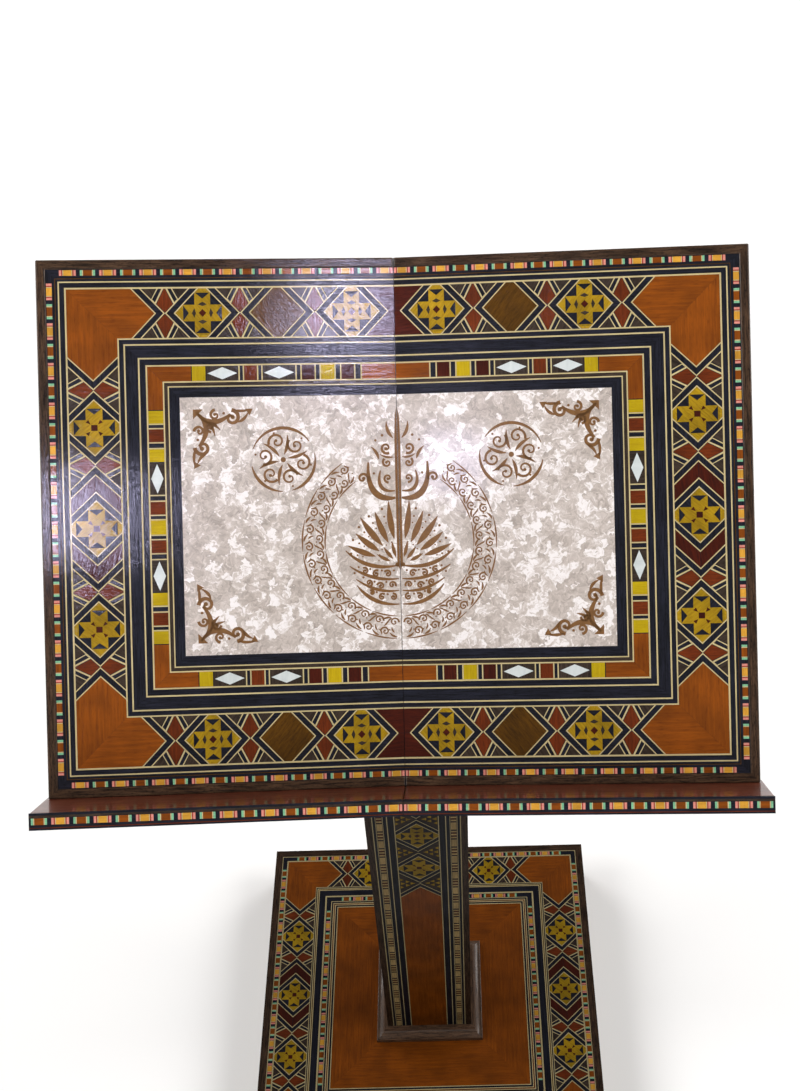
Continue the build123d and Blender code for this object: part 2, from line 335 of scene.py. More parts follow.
def half_strip(inner, outer, half):
    """The two slips on the band's near side of a lozenge border."""
    lean = LEAN * half
    slip = np.array([[-inner, 0.0], [-outer, 0.0], [lean - outer, half], [lean - inner, half]])
    return flipped(slip, along=False)


class BandWriter:
    """Lays motifs on a band, at a distance along it, through the band's own placing."""

    def __init__(self, marquetry, centre, turn, half=BAND_HALF, mirrored=False):
        self.marquetry = marquetry
        self.centre = centre
        self.turn = turn
        self.half = half
        self.mirrored = mirrored

    def lay(self, finish, outlines, at=0.0, height=FLUSH, grain=0.0):
        """Slips at a distance along the band, and their mirror images on a mirrored band."""
        placed = moved(stacked(outlines) + [at, 0.0], self.centre, self.turn)
        self.marquetry.lay(finish, placed, height, grain + self.turn)
        if self.mirrored:
            self.marquetry.lay(finish, placed * MIRROR, height, -(grain + self.turn))

    def border(self, at, start=STAR_HALF):
        """The white, black and white border round a lozenge."""
        first = start + BORDER_WHITE
        second = first + BORDER_BLACK
        self.lay("white_wood", lozenge_strip(start, first, self.half), at)
        self.lay("black_wood", lozenge_strip(first + JOINT, second - JOINT, self.half), at)
        self.lay("white_wood", lozenge_strip(second, second + BORDER_WHITE, self.half), at)

    def plain(self, at):
        """A plain lozenge in its border."""
        self.border(at)
        self.lay("olive_wood", lozenge(STAR_HALF - FIELD_GAP, self.half), at, grain=0.9)

    def star(self, at, upright=False):
        """An eight-pointed star of small slips on a yellow lozenge, in its border.

        The lozenge is cut by a square grid. The arms hold an outer black triangle and an inner
        dark lens, the corners a black right-angled triangle, and the middle a dark red diamond.
        """
        self.border(at)
        self.lay("yellow_wood", lozenge(STAR_HALF - FIELD_GAP, self.half), at, grain=0.9)
        a, b = STAR_HALF, STAR_RISE
        notch, reach = 0.29, 0.71
        limit = self.half - 0.3
        corner = np.array([[notch * a, notch * b], [reach * a, notch * b], [notch * a, reach * b]])
        self.lay("black_wood", flipped(corner), at, LET_IN, 0.7)
        outer_along = np.array([[reach * a, -0.27 * b], [reach * a, 0.27 * b], [0.50 * a, 0.0]])
        outer_across = np.array([[-0.27 * a, reach * b], [0.27 * a, reach * b], [0.0, 0.50 * b]])
        self.lay("black_wood", flipped(outer_along, across=False), at, LET_IN, QUARTER)
        self.lay("black_wood", flipped(outer_across, along=False), at, LET_IN)
        if upright:
            lens = np.array([[0.13, 0.13], [0.30, 0.20], [0.25, 0.25], [0.20, 0.30]]) * [a, b]
            self.lay("dark_red_wood", flipped(lens), at, LET_IN, 0.4)
            core = bar((-0.11 * a, -0.11 * b), (0.11 * a, 0.11 * b))
        else:
            lens_along = np.array([[0.24, 0.0], [0.30, 0.17], [0.39, 0.0], [0.30, -0.17]]) * [a, b]
            lens_across = np.array([[0.0, 0.24], [0.17, 0.30], [0.0, 0.39], [-0.17, 0.30]]) * [a, b]
            self.lay("ebony_wood", flipped(lens_along, across=False), at, LET_IN)
            self.lay("ebony_wood", flipped(lens_across, along=False), at, LET_IN)
            core = np.array([[0.14 * a, 0.0], [0.0, 0.14 * b], [-0.14 * a, 0.0], [0.0, -0.14 * b]])
        self.lay("dark_red_wood", core, at, LET_IN, 0.5)
        tip = np.array([[-0.20 * a, 0.78 * b], [0.20 * a, 0.78 * b], [0.12 * a, limit], [-0.12 * a, limit]])
        self.lay("yellow_wood", flipped(tip, along=False), at, LET_IN, QUARTER)

    def crossing(self, at):
        """What fills the two triangles above and below the point where two borders cross.

        A kite stands on the crossing, a white, black and white band leans out on each side of it,
        and a dark triangle fills each outer corner.
        """
        edge = self.half
        fill = edge / BAND_HALF
        body = np.array([[0.0, 0.7], [5.7, 6.3], [0.3, edge], [-0.3, edge], [-5.7, 6.3]])
        self.lay("red_brown_wood", flipped(body, along=False), at, grain=QUARTER)
        band_white = np.array([[6.1, 6.6], [9.3, 9.9], [5.4, edge], [0.7, edge]])
        band_black = np.array([[6.7, 7.7], [8.7, 9.8], [4.5, edge], [2.0, edge]])
        self.lay("white_wood", flipped(band_white), at)
        self.lay("black_wood", flipped(band_black), at, LET_IN, -1.1)
        corner = np.array([[9.8, 10.5], [15.6 * fill, edge], [5.9, edge]])
        self.lay("ebony_wood", flipped(corner), at, grain=1.0)

    def chevrons(self, start):
        """Two broad chevrons outside the middle lozenge's border, with a thin dark joint between them."""
        lean = LEAN * self.half
        near, far = start + FIELD_GAP, start + CHEVRON_WIDTH - FIELD_GAP
        slip = np.array([[near, 0.15], [far, 0.15], [far - lean, self.half], [near - lean, self.half]])
        self.lay("dark_red_wood", flipped(slip), grain=0.2)

    def middle_star(self):
        """The star in the middle of a band, its chevrons and the border outside them."""
        self.star(0.0, True)
        self.chevrons(STAR_HALF + BORDER)
        self.border(0.0, STAR_HALF + BORDER + CHEVRON_WIDTH)

    def outer_star(self):
        """The star beyond the middle one, between its two crossings."""
        self.crossing(EDGE_CROSSING)
        self.star(EDGE_STAR, True)
        self.crossing(EDGE_STAR + UNIT_PITCH / 2)

    def corner(self, tip, near, far, order=(0, 1, 2), hand=1.0):
        """The band's corner field, from its point to the mitre, and the point's border.

        Near and far are where the mitre meets the band's two edges, order is the order in which
        the border's three lines are laid, and a hand of -1 mirrors the field across the band.
        """
        half = self.half
        for line in order:
            finish, a, b = POINT_BORDER[line]
            self.lay(finish, half_strip(a, b, half), tip)
        point = tip + FIELD_GAP
        lean = LEAN * half
        field = np.array([[point, 0.0], [point + lean, -half], [near - BLOCK_GAP, -half],
                          [far - BLOCK_GAP, half], [point + lean, half]])
        self.lay("orange_wood", field * [1.0, hand])


# Where the motifs of the star bands stand, in mm along the band.
TOP_FIRST_STAR = 30.2
EDGE_CROSSING = STAR_HALF + BORDER + CHEVRON_WIDTH + BORDER
EDGE_STAR = EDGE_CROSSING + UNIT_PITCH / 2
EDGE_TIP = EDGE_STAR + UNIT_PITCH / 2 + BORDER

# The block tiles of two kinds: each block's finish and its two ends, in mm from the tile's middle.
# A block that starts past the middle stands on both sides of it.
COLOURED_TILES = (
    (("tan_wood", -2.8, 2.8), ("white_wood", 2.8, 3.4), ("red_stain", 3.4, 4.2), ("pink_stain", 4.2, 5.8)),
    (("orange_wood", -3.05, 3.05), ("white_wood", 3.05, 3.75), ("green_stain", 3.75, 5.25)),
)
PLAIN_TILES = (
    (("pale_wood", -5.7, 5.7),),
    (("pale_wood", -1.1, 1.1), ("red_brown_wood", 1.8, 3.0), ("pale_wood", 3.7, 6.0)),
)


def lay_tiles(marquetry, centre, turn, places, width=3.9, patterns=COLOURED_TILES):
    """A strip of small block tiles, at the places and of the kinds that tile_places gives."""
    positions, kinds = places
    for kind, pattern in enumerate(patterns):
        at = positions[kinds == kind]
        steps = np.stack([at, np.zeros_like(at)], axis=1)[:, None]
        for finish, low, high in pattern:
            ends = [(low, high)] if low < 0 else [(low, high), (-high, -low)]
            for a, b in ends:
                tile = bar((a + LINE_GAP, -width / 2), (b - LINE_GAP, width / 2))[None] + steps
                marquetry.lay(finish, moved(tile, centre, turn), FLUSH, turn)


TILE_PITCH = 13.85
TILE_REACH = 5.9


def tile_places(low, high, start):
    """Tile centres at the pitch that fit between two ends, with the kind of each."""
    first = math.ceil((low + TILE_REACH - start) / TILE_PITCH)
    last = math.floor((high - TILE_REACH - start) / TILE_PITCH)
    steps = np.arange(first, last + 1)
    return start + steps * TILE_PITCH, np.abs(steps) % 2


# ---------------------------------------------------------------- the engraved ornament of the plates

def ray(angle):
    """Points on the circle of radius 1 at an angle, or at each of an array of angles."""
    return np.stack([np.cos(angle), np.sin(angle)], axis=-1)


def spiral(centre, radius, start, turns, hand):
    """A path that winds inward: its radius falls evenly from its full size to 0.16 of it."""
    t = np.linspace(0.0, 1.0, 22)
    angle = start + hand * turns * 2 * math.pi * t
    return centre + (radius * (1.0 - 0.84 * t))[:, None] * ray(angle)


def curve(points, steps):
    """A smooth path through three or four corner points: the Bezier curve that they steer."""
    t = np.linspace(0.0, 1.0, steps)[:, None]
    points = np.repeat(np.asarray(points, dtype=float)[:, None], steps, axis=1)
    while len(points) > 1:
        points = points[:-1] * (1 - t) + points[1:] * t
    return points[0]


def swell(steps, thin, thick, peak=0.45):
    """A pen-like width: thin at both ends and thick at its peak."""
    t = np.linspace(0.0, 1.0, steps)
    rise = np.where(t < peak, t / peak, (1 - t) / (1 - peak))
    return thin + (thick - thin) * np.sin(rise * QUARTER)


class Engraver:
    """Draws strokes of the plates' ornament on one leaf."""

    def __init__(self, marquetry):
        self.marquetry = marquetry
        self.weight = 1.0

    def draw(self, path, width):
        """A stroke as wide as asked, times the weight that this part of the ornament is drawn with."""
        self.marquetry.stroke("engraved_gold", path, np.asarray(width) * self.weight)

    def sweep(self, points, steps, thin, thick, peak=0.45):
        """A stroke along a smooth curve, thin at both ends and thick at its peak."""
        self.draw(curve(points, steps), swell(steps, thin, thick, peak))

    def fill(self, outline):
        """A small engraved field."""
        self.marquetry.lay("engraved_gold", outline, LET_IN, 0.0, ENGRAVED_DEPTH)

    def bead(self, centre, radius):
        """A round dot: a disc of ten sides."""
        self.fill(centre + radius * ray(np.linspace(0.0, 2 * math.pi, 11)[:-1]))

    def tendril(self, centre, radius, start, turns, hand, thick):
        """A curling tendril that thins to half its width, with a round bud at its inner end."""
        path = spiral(centre, radius, start, turns, hand)
        self.draw(path, np.linspace(thick, thick * 0.5, len(path)))
        self.bead(path[-1], thick * 0.66)

    def leaflet(self, root, tip, belly, thick):
        """A curved lancet leaf from its root to its tip, bent to one side by its belly."""
        root, tip = np.asarray(root, dtype=float), np.asarray(tip, dtype=float)
        along = tip - root
        aside = np.array([-along[1], along[0]])
        self.sweep([root, (root + tip) / 2 + aside * belly, tip], 12, 0.35, thick, 0.4)


def engrave_corner(engraver, up):
    """A scrolled bracket in the plate's outer corner: two arms of tendrils from a leafy middle."""
    corner = np.array([143.5, 82.5])

    def at(x, y):
        """A point from distances back from the corner."""
        return (corner - [x, y]) * [1.0, up]

    engraver.fill([at(0.0, 0.0), at(7.0, 0.0), at(0.0, 7.0)])
    for swap in (False, True):
        def spot(x, y, swap=swap):
            """A point of this arm, along it and across it from the corner."""
            return at(y, x) if swap else at(x, y)
        hand = -up if swap else up
        engraver.sweep([spot(2.0, 2.0), spot(10.0, 12.5), spot(20.0, 9.5), spot(26.0, 3.5)], 18, 1.0, 3.0)
        facing = math.atan2(*(spot(27.0, 0.0) - spot(27.0, 6.5))[::-1])
        engraver.tendril(spot(27.0, 6.3), 5.6, facing, 1.15, hand, 2.3)
        engraver.tendril(spot(15.5, 4.2), 3.8, facing, 1.1, -hand, 1.7)
        engraver.tendril(spot(12.5, 12.8), 3.4, facing + math.pi, 1.0, hand, 1.5)
        engraver.leaflet(spot(28.0, 1.0), spot(40.0, 0.6), 0.12, 1.7)
        engraver.leaflet(spot(31.0, 9.5), spot(38.5, 2.5), 0.25, 1.8)
        engraver.fill([spot(36.5, 0.0), spot(42.0, 0.0), spot(39.5, 4.8)])
        engraver.leaflet(spot(8.0, 9.0), spot(19.0, 15.0), -0.2, 1.8)
        engraver.bead(spot(21.5, 3.0), 1.0)


def engrave_medallion(engraver, centre, radius):
    """A round medallion: a broken rim, a ring of six tendrils and lancet leaves between them."""
    for start, sweep in ((0.35, 2.2), (2.95, 1.5), (4.75, 1.35)):
        angle = np.linspace(start, start + sweep, 20)
        engraver.draw(ray(angle) * radius + centre, swell(20, 0.5, 2.1, 0.6))
    for i in range(6):
        angle = i * math.pi / 3 + 0.2
        hand = 1.0 if i % 2 else -1.0
        engraver.tendril(centre + radius * 0.60 * ray(angle), radius * 0.27, angle - 1.6, 1.2, hand, 1.7)
        between = radius * ray(angle + 0.5)
        engraver.leaflet(centre + 0.16 * between, centre + 0.80 * between, 0.16, 2.2)
        engraver.bead(centre + radius * 0.88 * ray(angle), 0.8)
    engraver.bead(centre, 1.9)


def engrave_ring(engraver, centre, inner, outer, low, high):
    """An open ring filled with a dense running vine, in three rows of small curls and leaves."""
    middle = (inner + outer) / 2
    count = 26
    step = (high - low) / count
    for edge in (outer, inner):
        for part in range(7):
            a = low + (high - low) * (part + 0.04) / 7
            b = low + (high - low) * (part + 0.96) / 7
            engraver.draw(ray(np.linspace(a, b, 12)) * edge + centre, swell(12, 0.3, 1.0, 0.5))
    for i in range(count):
        angle = low + (i + 0.5) * step
        inward = 1.0 if i % 2 else -1.0
        away = ray(angle)
        side = np.array([-away[1], away[0]])

        def at(out, aside=0.0, away=away, side=side, inward=inward):
            """A point from distances outward from the ring's mid-line and along it."""
            return centre + (middle + inward * out) * away + aside * side

        engraver.tendril(at(3.6), 3.3, angle + inward * QUARTER, 1.15, inward, 1.15)
        engraver.leaflet(at(-6.8, -2.6), at(-4.2, 2.8), 0.22 * inward, 1.35)
        engraver.leaflet(at(-3.8, -0.6), at(-0.2, 1.6), -0.25, 1.1)
        engraver.leaflet(at(6.2, 2.0), at(2.8, 4.6), 0.3, 1.0)
        engraver.bead(at(-2.0, 3.2), 0.55)


# The palmette's petals: each one's lean from upright in radians, where it starts and ends as shares
# of the way from the foot to the rim, and its width in mm.
PALMETTE_PETALS = (
    (0.13, 0.40, 0.98, 4.0), (0.39, 0.38, 0.90, 4.0), (0.65, 0.40, 0.98, 4.2), (0.91, 0.40, 0.90, 4.0),
    (1.18, 0.44, 0.98, 3.6), (0.24, 0.13, 0.37, 2.3), (0.66, 0.13, 0.37, 2.3), (1.08, 0.16, 0.42, 2.3),
)
# Beads in the gap beside each long petal: the share of the way to the rim, and the radius in mm.
PALMETTE_GAP_BEADS = ((0.36, 0.55), (0.66, 0.6), (0.76, 0.75), (0.88, 0.95))
# The sweeping stems: the four points that steer each, in mm from the centre, and its width.
PALMETTE_STEMS = (
    ((1.2, -9.6), (13.0, -12.2), (27.0, -10.5), (38.6, 1.5), 2.6),
    ((1.2, -19.2), (12.0, -20.6), (24.0, -18.2), (36.0, -9.6), 2.2),
    ((1.2, -27.6), (10.0, -29.0), (20.0, -27.4), (31.6, -19.0), 2.0),
    ((1.2, -37.4), (14.0, -38.2), (24.0, -33.0), (31.0, -23.4), 2.6),
)
# The curls between the stems: across and up from the centre, radius, starting angle and hand.
PALMETTE_CURLS = (
    (9.0, -15.6, 2.7, 0.5, 1.0), (17.2, -15.4, 2.7, 2.2, -1.0), (25.2, -13.2, 2.5, 1.0, 1.0),
    (6.0, -23.6, 2.7, 3.6, -1.0), (14.2, -24.2, 2.7, 0.2, 1.0), (22.4, -21.8, 2.5, 4.4, -1.0),
    (5.4, -32.2, 2.6, 1.4, 1.0), (13.4, -32.0, 2.5, 2.4, -1.0), (20.6, -28.8, 2.0, 0.8, 1.0),
)
PALMETTE_BEADS = (
    (4.6, -13.4), (13.2, -13.2), (21.4, -12.0), (29.6, -10.4), (10.2, -21.4), (18.6, -21.0), (26.4, -17.8),
    (9.4, -30.2), (17.2, -28.6), (32.6, -14.6),
)


def engrave_palmette(engraver, centre, radius):
    """The round palmette inside the ring: petals fan up to its rim over three rows of curls.

    A petal leaning by a from upright lies along f + t·(sin a, cos a) from the foot f; at t = reach
    it would meet the circle of this radius round the centre.
    """
    centre = np.array(centre)
    foot = np.array([1.4, -9.6])
    for lean, low, high, width in PALMETTE_PETALS:
        way = ray(lean)[::-1]
        near = foot @ way
        reach = math.sqrt(near * near + radius * radius - foot @ foot) - near
        root = centre + foot
        engraver.leaflet(root + way * reach * low, root + way * reach * high, -0.05, width)
        if high > 0.5:
            between = ray(lean + 0.13)[::-1]
            for share, size in PALMETTE_GAP_BEADS:
                engraver.bead(root + between * reach * share, size)
    engraver.bead(centre + foot + [0.6, 0.4], 1.6)
    for *points, thick in PALMETTE_STEMS:
        engraver.sweep(points + centre, 24, 0.6, thick, 0.55)
    for x, y, size, start, hand in PALMETTE_CURLS:
        engraver.tendril(centre + [x, y], size, start, 1.2, hand, 1.4)
    for spot in PALMETTE_BEADS:
        engraver.bead(centre + spot, 0.8)


# The finial's tendrils, leaflets and beads, in the order of the values that Engraver's calls take.
FINIAL_TENDRILS = (
    ((25.2, 31.5), 4.2, 3.6, 1.1, -1.0, 1.9), ((8.0, 53.0), 4.2, 4.2, 1.15, 1.0, 1.8),
    ((7.2, 31.5), 3.2, 4.6, 1.1, 1.0, 1.6), ((7.6, 42.5), 3.4, 1.0, 1.1, -1.0, 1.6),
)
FINIAL_LEAFLETS = (
    ((3.0, 60.0), (7.5, 72.0), -0.25, 2.2), ((13.5, 45.0), (19.0, 54.0), 0.2, 2.0),
    ((3.0, 46.5), (12.5, 48.5), -0.2, 1.5),
)
FINIAL_BEADS = (((10.8, 62.0), 1.0), ((15.6, 58.5), 0.9), ((17.2, 35.0), 0.9))


def engrave_finial(engraver, low, high):
    """Half of the tall spire on the seam, with a lily of three petals and tendrils beside it."""
    near = SEAM + FIELD_GAP
    engraver.fill([[near, low], [2.0, low + 4.0], [2.1, high - 22.0], [1.5, high - 6.0], [near, high]])
    engraver.sweep([(2.2, 17.5), (9.0, 16.0), (23.5, 17.0), (21.0, 43.0)], 22, 1.2, 4.0, 0.5)
    engraver.sweep([(2.5, 22.5), (12.0, 21.0), (15.5, 27.0), (12.5, 37.0)], 18, 0.8, 2.4, 0.5)
    for tendril in FINIAL_TENDRILS:
        engraver.tendril(*tendril)
    for leaflet in FINIAL_LEAFLETS:
        engraver.leaflet(*leaflet)
    for bead in FINIAL_BEADS:
        engraver.bead(*bead)


def engrave_plate(engraver):
    """The whole ornament of one leaf, which its mirror image completes across the seam."""
    engraver.weight = 1.25
    engrave_corner(engraver, 1.0)
    engrave_corner(engraver, -1.0)
    engraver.weight = 1.1
    engrave_medallion(engraver, (81.0, 46.0), 22.5)
    engrave_ring(engraver, (0.0, -14.0), 53.0, 69.0, -QUARTER + 0.04, 0.98)
    engraver.weight = 1.12
    engrave_palmette(engraver, (0.0, -21.0), 38.0)
    engrave_finial(engraver, -34.0, 82.0)


# ---------------------------------------------------------------- materials

def linear(code):
    """An sRGB hex colour as linear red, green, blue and alpha."""
    parts = [int(code[i:i + 2], 16) / 255 for i in (1, 3, 5)]
    return tuple(c / 12.92 if c <= 0.04045 else ((c + 0.055) / 1.055) ** 2.4 for c in parts) + (1.0,)


def join(tree, node, inputs):
    """Links or sets a node's sockets; a node as the value stands for its first output in use."""
    for socket, value in inputs.items():
        if isinstance(value, bpy.types.Node):
            value = next(output for output in value.outputs if output.enabled)
        if isinstance(value, bpy.types.NodeSocket):
            tree.links.new(value, node.inputs[socket])
        else:
            node.inputs[socket].default_value = value


def add(tree, kind, inputs=None, **settings):
    """A node with its settings, and its sockets either linked or set."""
    new = tree.nodes.new(kind)
    for key, value in settings.items():
        setattr(new, key, value)
    join(tree, new, inputs or {})
    return new


def per(length):
    """The scale of a pattern that repeats once in a length in mm."""
    return 1.0 / (length * MM)


def new_material(name, space):
    """An empty material, its node tree, its principled shader, and a point in the space asked for."""
    material = bpy.data.materials.new(name)
    material.use_nodes = True
    tree = material.node_tree
    tree.nodes.clear()
    shader = add(tree, "ShaderNodeBsdfPrincipled")
    add(tree, "ShaderNodeOutputMaterial", {"Surface": shader})
    return material, tree, shader, add(tree, "ShaderNodeTexCoord").outputs[space]


# Painted shade on the varnished woods of the base and the column: how much of the leaves' brightness each
# keeps. The column lies deeper in the leaves' shade.
BASE_PAINTED_SHADE = 0.42
COLUMN_PAINTED_SHADE = 0.28

# Each varnished wood: its light and dark grain, the length and width of a grain streak in mm
# (drawn about three times as wide as real pores, which are too fine to show), how strong the
# streaks are, and how much one slip differs from the next.
WOODS = {
    "white_wood": ("#DACB9E", "#B9A36E", 14.0, 1.2, 0.35, 0.10),
    "black_wood": ("#262734", "#07070B", 22.0, 1.1, 0.70, 0.22),
    "orange_wood": ("#9A500E", "#6C3304", 34.0, 2.0, 0.50, 0.20),
    "yellow_wood": ("#BC981A", "#84640A", 12.0, 1.2, 0.50, 0.25),
    "tan_wood": ("#E3AA40", "#BC8228", 10.0, 1.2, 0.45, 0.22),
    "bright_yellow_wood": ("#C8AE14", "#A88A06", 16.0, 1.4, 0.45, 0.16),
    "ebony_wood": ("#4A3D33", "#1B1310", 14.0, 1.3, 0.60, 0.25),
    "dark_red_wood": ("#521A0A", "#300C04", 20.0, 1.6, 0.55, 0.25),
    "red_brown_wood": ("#7A3310", "#4E1E06", 14.0, 1.4, 0.55, 0.25),
    "olive_wood": ("#664108", "#3C2402", 11.0, 1.3, 0.62, 0.22),
    "pale_wood": ("#D8BC84", "#A68450", 12.0, 1.2, 0.45, 0.22),
    "red_stain": ("#B4483A", "#8A2C24", 10.0, 1.2, 0.35, 0.10),
    "pink_stain": ("#EAA092", "#C87468", 10.0, 1.2, 0.35, 0.12),
    "green_stain": ("#9AD4A8", "#5E9E7C", 10.0, 1.2, 0.35, 0.12),
    "dark_walnut": ("#57402F", "#170E09", 15.0, 1.3, 0.85, 0.25),
    "stained_beech": ("#6C3420", "#3C180E", 40.0, 2.0, 0.62, 0.15),
    "carcass_beech": ("#8E5A34", "#5E3519", 60.0, 2.6, 0.50, 0.15),
}


def varnished_wood(name, light, dark, length, width, strength, change, depth=1.0):
    """Straight-grained wood under clear polyester varnish.

    The grain is noise drawn out along the fibres, with finer pores over it, and slower noise
    makes one slip lighter than the next. The varnish is a clear coat with a faint ripple.
    """
    material, tree, shader, spot = new_material(name, "UV")
    streaks = add(tree, "ShaderNodeMapping", {"Vector": spot, "Scale": (per(length), per(width), 1.0)})
    fibre = add(tree, "ShaderNodeTexNoise", {
        "Vector": streaks, "Scale": 1.0, "Detail": 3.0, "Roughness": 0.62, "Distortion": 0.35})
    fine = add(tree, "ShaderNodeMapping", {
        "Vector": spot, "Scale": (per(length * 0.16), per(width * 0.5), 1.0)})
    pores = add(tree, "ShaderNodeTexNoise", {"Vector": fine, "Scale": 1.0, "Detail": 1.0, "Roughness": 0.5})
    slow = add(tree, "ShaderNodeTexNoise", {"Vector": spot, "Scale": per(26.0), "Detail": 1.0})
    lines = add(tree, "ShaderNodeMapRange", {
        "Value": fibre, "From Min": 0.34, "From Max": 0.66,
        "To Min": 0.5 + strength / 2, "To Max": 0.5 - strength / 2})
    specks = add(tree, "ShaderNodeMapRange", {
        "Value": pores, "From Min": 0.54, "From Max": 0.74, "To Min": 0.0, "To Max": strength * 0.55})
    both = add(tree, "ShaderNodeMath", {0: lines, 1: specks}, operation="ADD", use_clamp=True)
    grain = add(tree, "ShaderNodeMix", {"Factor": both, "A": linear(light), "B": linear(dark)},
                data_type="RGBA")
    # A depth below 1 paints shade on the wood: it scales this tone, so the colour comes out darker.
    tone = add(tree, "ShaderNodeMapRange", {
        "Value": slow, "From Min": 0.3, "From Max": 0.7,
        "To Min": (1.0 - change) * depth, "To Max": (1.0 + change) * depth})
    shade = add(tree, "ShaderNodeHueSaturation", {"Color": grain.outputs["Result"], "Value": tone})
    rough = add(tree, "ShaderNodeMapRange", {"Value": both, "To Min": 0.38, "To Max": 0.52})
    ripple = add(tree, "ShaderNodeTexNoise", {
        "Vector": add(tree, "ShaderNodeTexCoord").outputs["Object"], "Scale": per(5.0), "Detail": 4.5})
    relief = add(tree, "ShaderNodeMath", {0: both, 1: ripple}, operation="ADD")
    bump = add(tree, "ShaderNodeBump", {"Height": relief, "Strength": 0.16, "Distance": 0.25 * MM})
    # A depth below 1 also weakens the specular and the varnish coat, which paints shade on their reflection.
    join(tree, shader, {
        "Base Color": shade, "Roughness": rough, "Normal": bump, "Coat Normal": bump,
        "IOR": 1.5, "Specular IOR Level": 0.15 * depth, "Coat Weight": 0.55 * depth * depth,
        "Coat IOR": 1.42, "Coat Roughness": bpy.context.scene.stand_looks.varnish_roughness})
    return material


def mother_of_pearl():
    """Pearl shell laid in small flakes: a dull warm grey ground with bright curled flecks over it.

    Cells a few mm across have their edges pushed about by noise. In each cell a streaky noise is
    turned by the cell's own angle, as the shell's layers are, so some flakes flash white and
    others stay grey, and slow clouds make whole areas lighter or darker.
    """
    material, tree, shader, spot = new_material("flaked_mother_of_pearl", "UV")
    push = add(tree, "ShaderNodeTexNoise", {"Vector": spot, "Scale": per(5.0), "Detail": 3.0})
    away = add(tree, "ShaderNodeVectorMath", {0: push.outputs["Color"], 1: (0.5, 0.5, 0.5)},
               operation="SUBTRACT")
    reach = add(tree, "ShaderNodeVectorMath", {0: away, "Scale": 11.0 * MM}, operation="SCALE")
    bent = add(tree, "ShaderNodeVectorMath", {0: spot, 1: reach}, operation="ADD")
    flakes = add(tree, "ShaderNodeTexVoronoi", {"Vector": bent, "Scale": per(7.0)})
    pick = add(tree, "ShaderNodeSeparateColor", {"Color": flakes.outputs["Color"]})
    angle = add(tree, "ShaderNodeMath", {0: pick.outputs["Red"], 1: 2 * math.pi}, operation="MULTIPLY")
    turned = add(tree, "ShaderNodeVectorRotate", {"Vector": bent, "Angle": angle}, rotation_type="Z_AXIS")
    drawn = add(tree, "ShaderNodeMapping", {"Vector": turned, "Scale": (per(8.0), per(1.9), 1.0)})
    streak = add(tree, "ShaderNodeTexNoise", {"Vector": drawn, "Scale": 1.0, "Detail": 3.0, "Roughness": 0.6})
    clouds = add(tree, "ShaderNodeTexNoise", {"Vector": bent, "Scale": per(16.0), "Detail": 3.0})
    cell = add(tree, "ShaderNodeMapRange", {
        "Value": pick.outputs["Green"], "From Min": 0.35, "From Max": 1.0, "To Min": -0.06, "To Max": 0.24})
    fleck = add(tree, "ShaderNodeMath", {0: streak, 1: cell}, operation="ADD")
    cloud = add(tree, "ShaderNodeMapRange", {
        "Value": clouds, "From Min": 0.3, "From Max": 0.7, "To Min": -0.10, "To Max": 0.10})
    mix = add(tree, "ShaderNodeMath", {0: fleck, 1: cloud}, operation="ADD")
    ramp = add(tree, "ShaderNodeValToRGB", {"Fac": mix})
    steps = ((0.26, "#AB9F97"), (0.44, "#C7BAB2"), (0.58, "#DACEC7"), (0.72, "#FFF8F7"))
    band = ramp.color_ramp
    band.elements[0].position, band.elements[0].color = steps[0][0], linear(steps[0][1])
    band.elements[1].position, band.elements[1].color = steps[3][0], linear(steps[3][1])
    for place, code in steps[1:3]:
        band.elements.new(place).color = linear(code)
    gloss = add(tree, "ShaderNodeMapRange", {"Value": mix, "To Min": 0.42, "To Max": 0.22})
    bump = add(tree, "ShaderNodeBump", {"Height": mix, "Strength": 0.12, "Distance": 0.2 * MM})
    join(tree, shader, {
        "Base Color": ramp, "Roughness": gloss, "Normal": bump, "IOR": 1.6,
        "Specular IOR Level": 0.35, "Coat Weight": 0.7, "Coat Roughness": 0.08})
    return material

def two_tone(tree, pattern, light, dark):
    """The colour that runs from a light hex to a dark one with a pattern."""
    tint = add(tree, "ShaderNodeMix", {"Factor": pattern, "A": linear(light), "B": linear(dark)},
               data_type="RGBA")
    return tint.outputs["Result"]
def pearl_chip():
    """A small lozenge of shell, bluish white with a faint sheen across it."""
    material, tree, shader, spot = new_material("polished_shell_chip", "UV")
    drawn = add(tree, "ShaderNodeMapping", {"Vector": spot, "Scale": (per(14.0), per(4.0), 1.0)})
    cloud = add(tree, "ShaderNodeTexNoise", {"Vector": drawn, "Scale": 1.0, "Detail": 2.0})
    join(tree, shader, {
        "Base Color": two_tone(tree, cloud, "#EEF2F0", "#C3CBCB"), "Roughness": 0.3, "IOR": 1.6,
        "Coat Weight": 1.0, "Coat Roughness": 0.08})
    return material


def engraved_gold():
    """Lines engraved in the shell and rubbed with bronze-brown wax: matt, uneven, darker in places."""
    material, tree, shader, spot = new_material("waxed_engraving", "Object")
    rub = add(tree, "ShaderNodeTexNoise", {
        "Vector": spot, "Scale": per(3.0), "Detail": 3.0, "Roughness": 0.7})
    join(tree, shader, {
        "Base Color": two_tone(tree, rub, "#946736", "#5C3A18"),
        "Normal": add(tree, "ShaderNodeBump", {"Height": rub, "Strength": 0.3, "Distance": 0.2 * MM}),
        "Roughness": 0.5, "Coat Weight": 0.4, "Coat Roughness": 0.2})
    return material


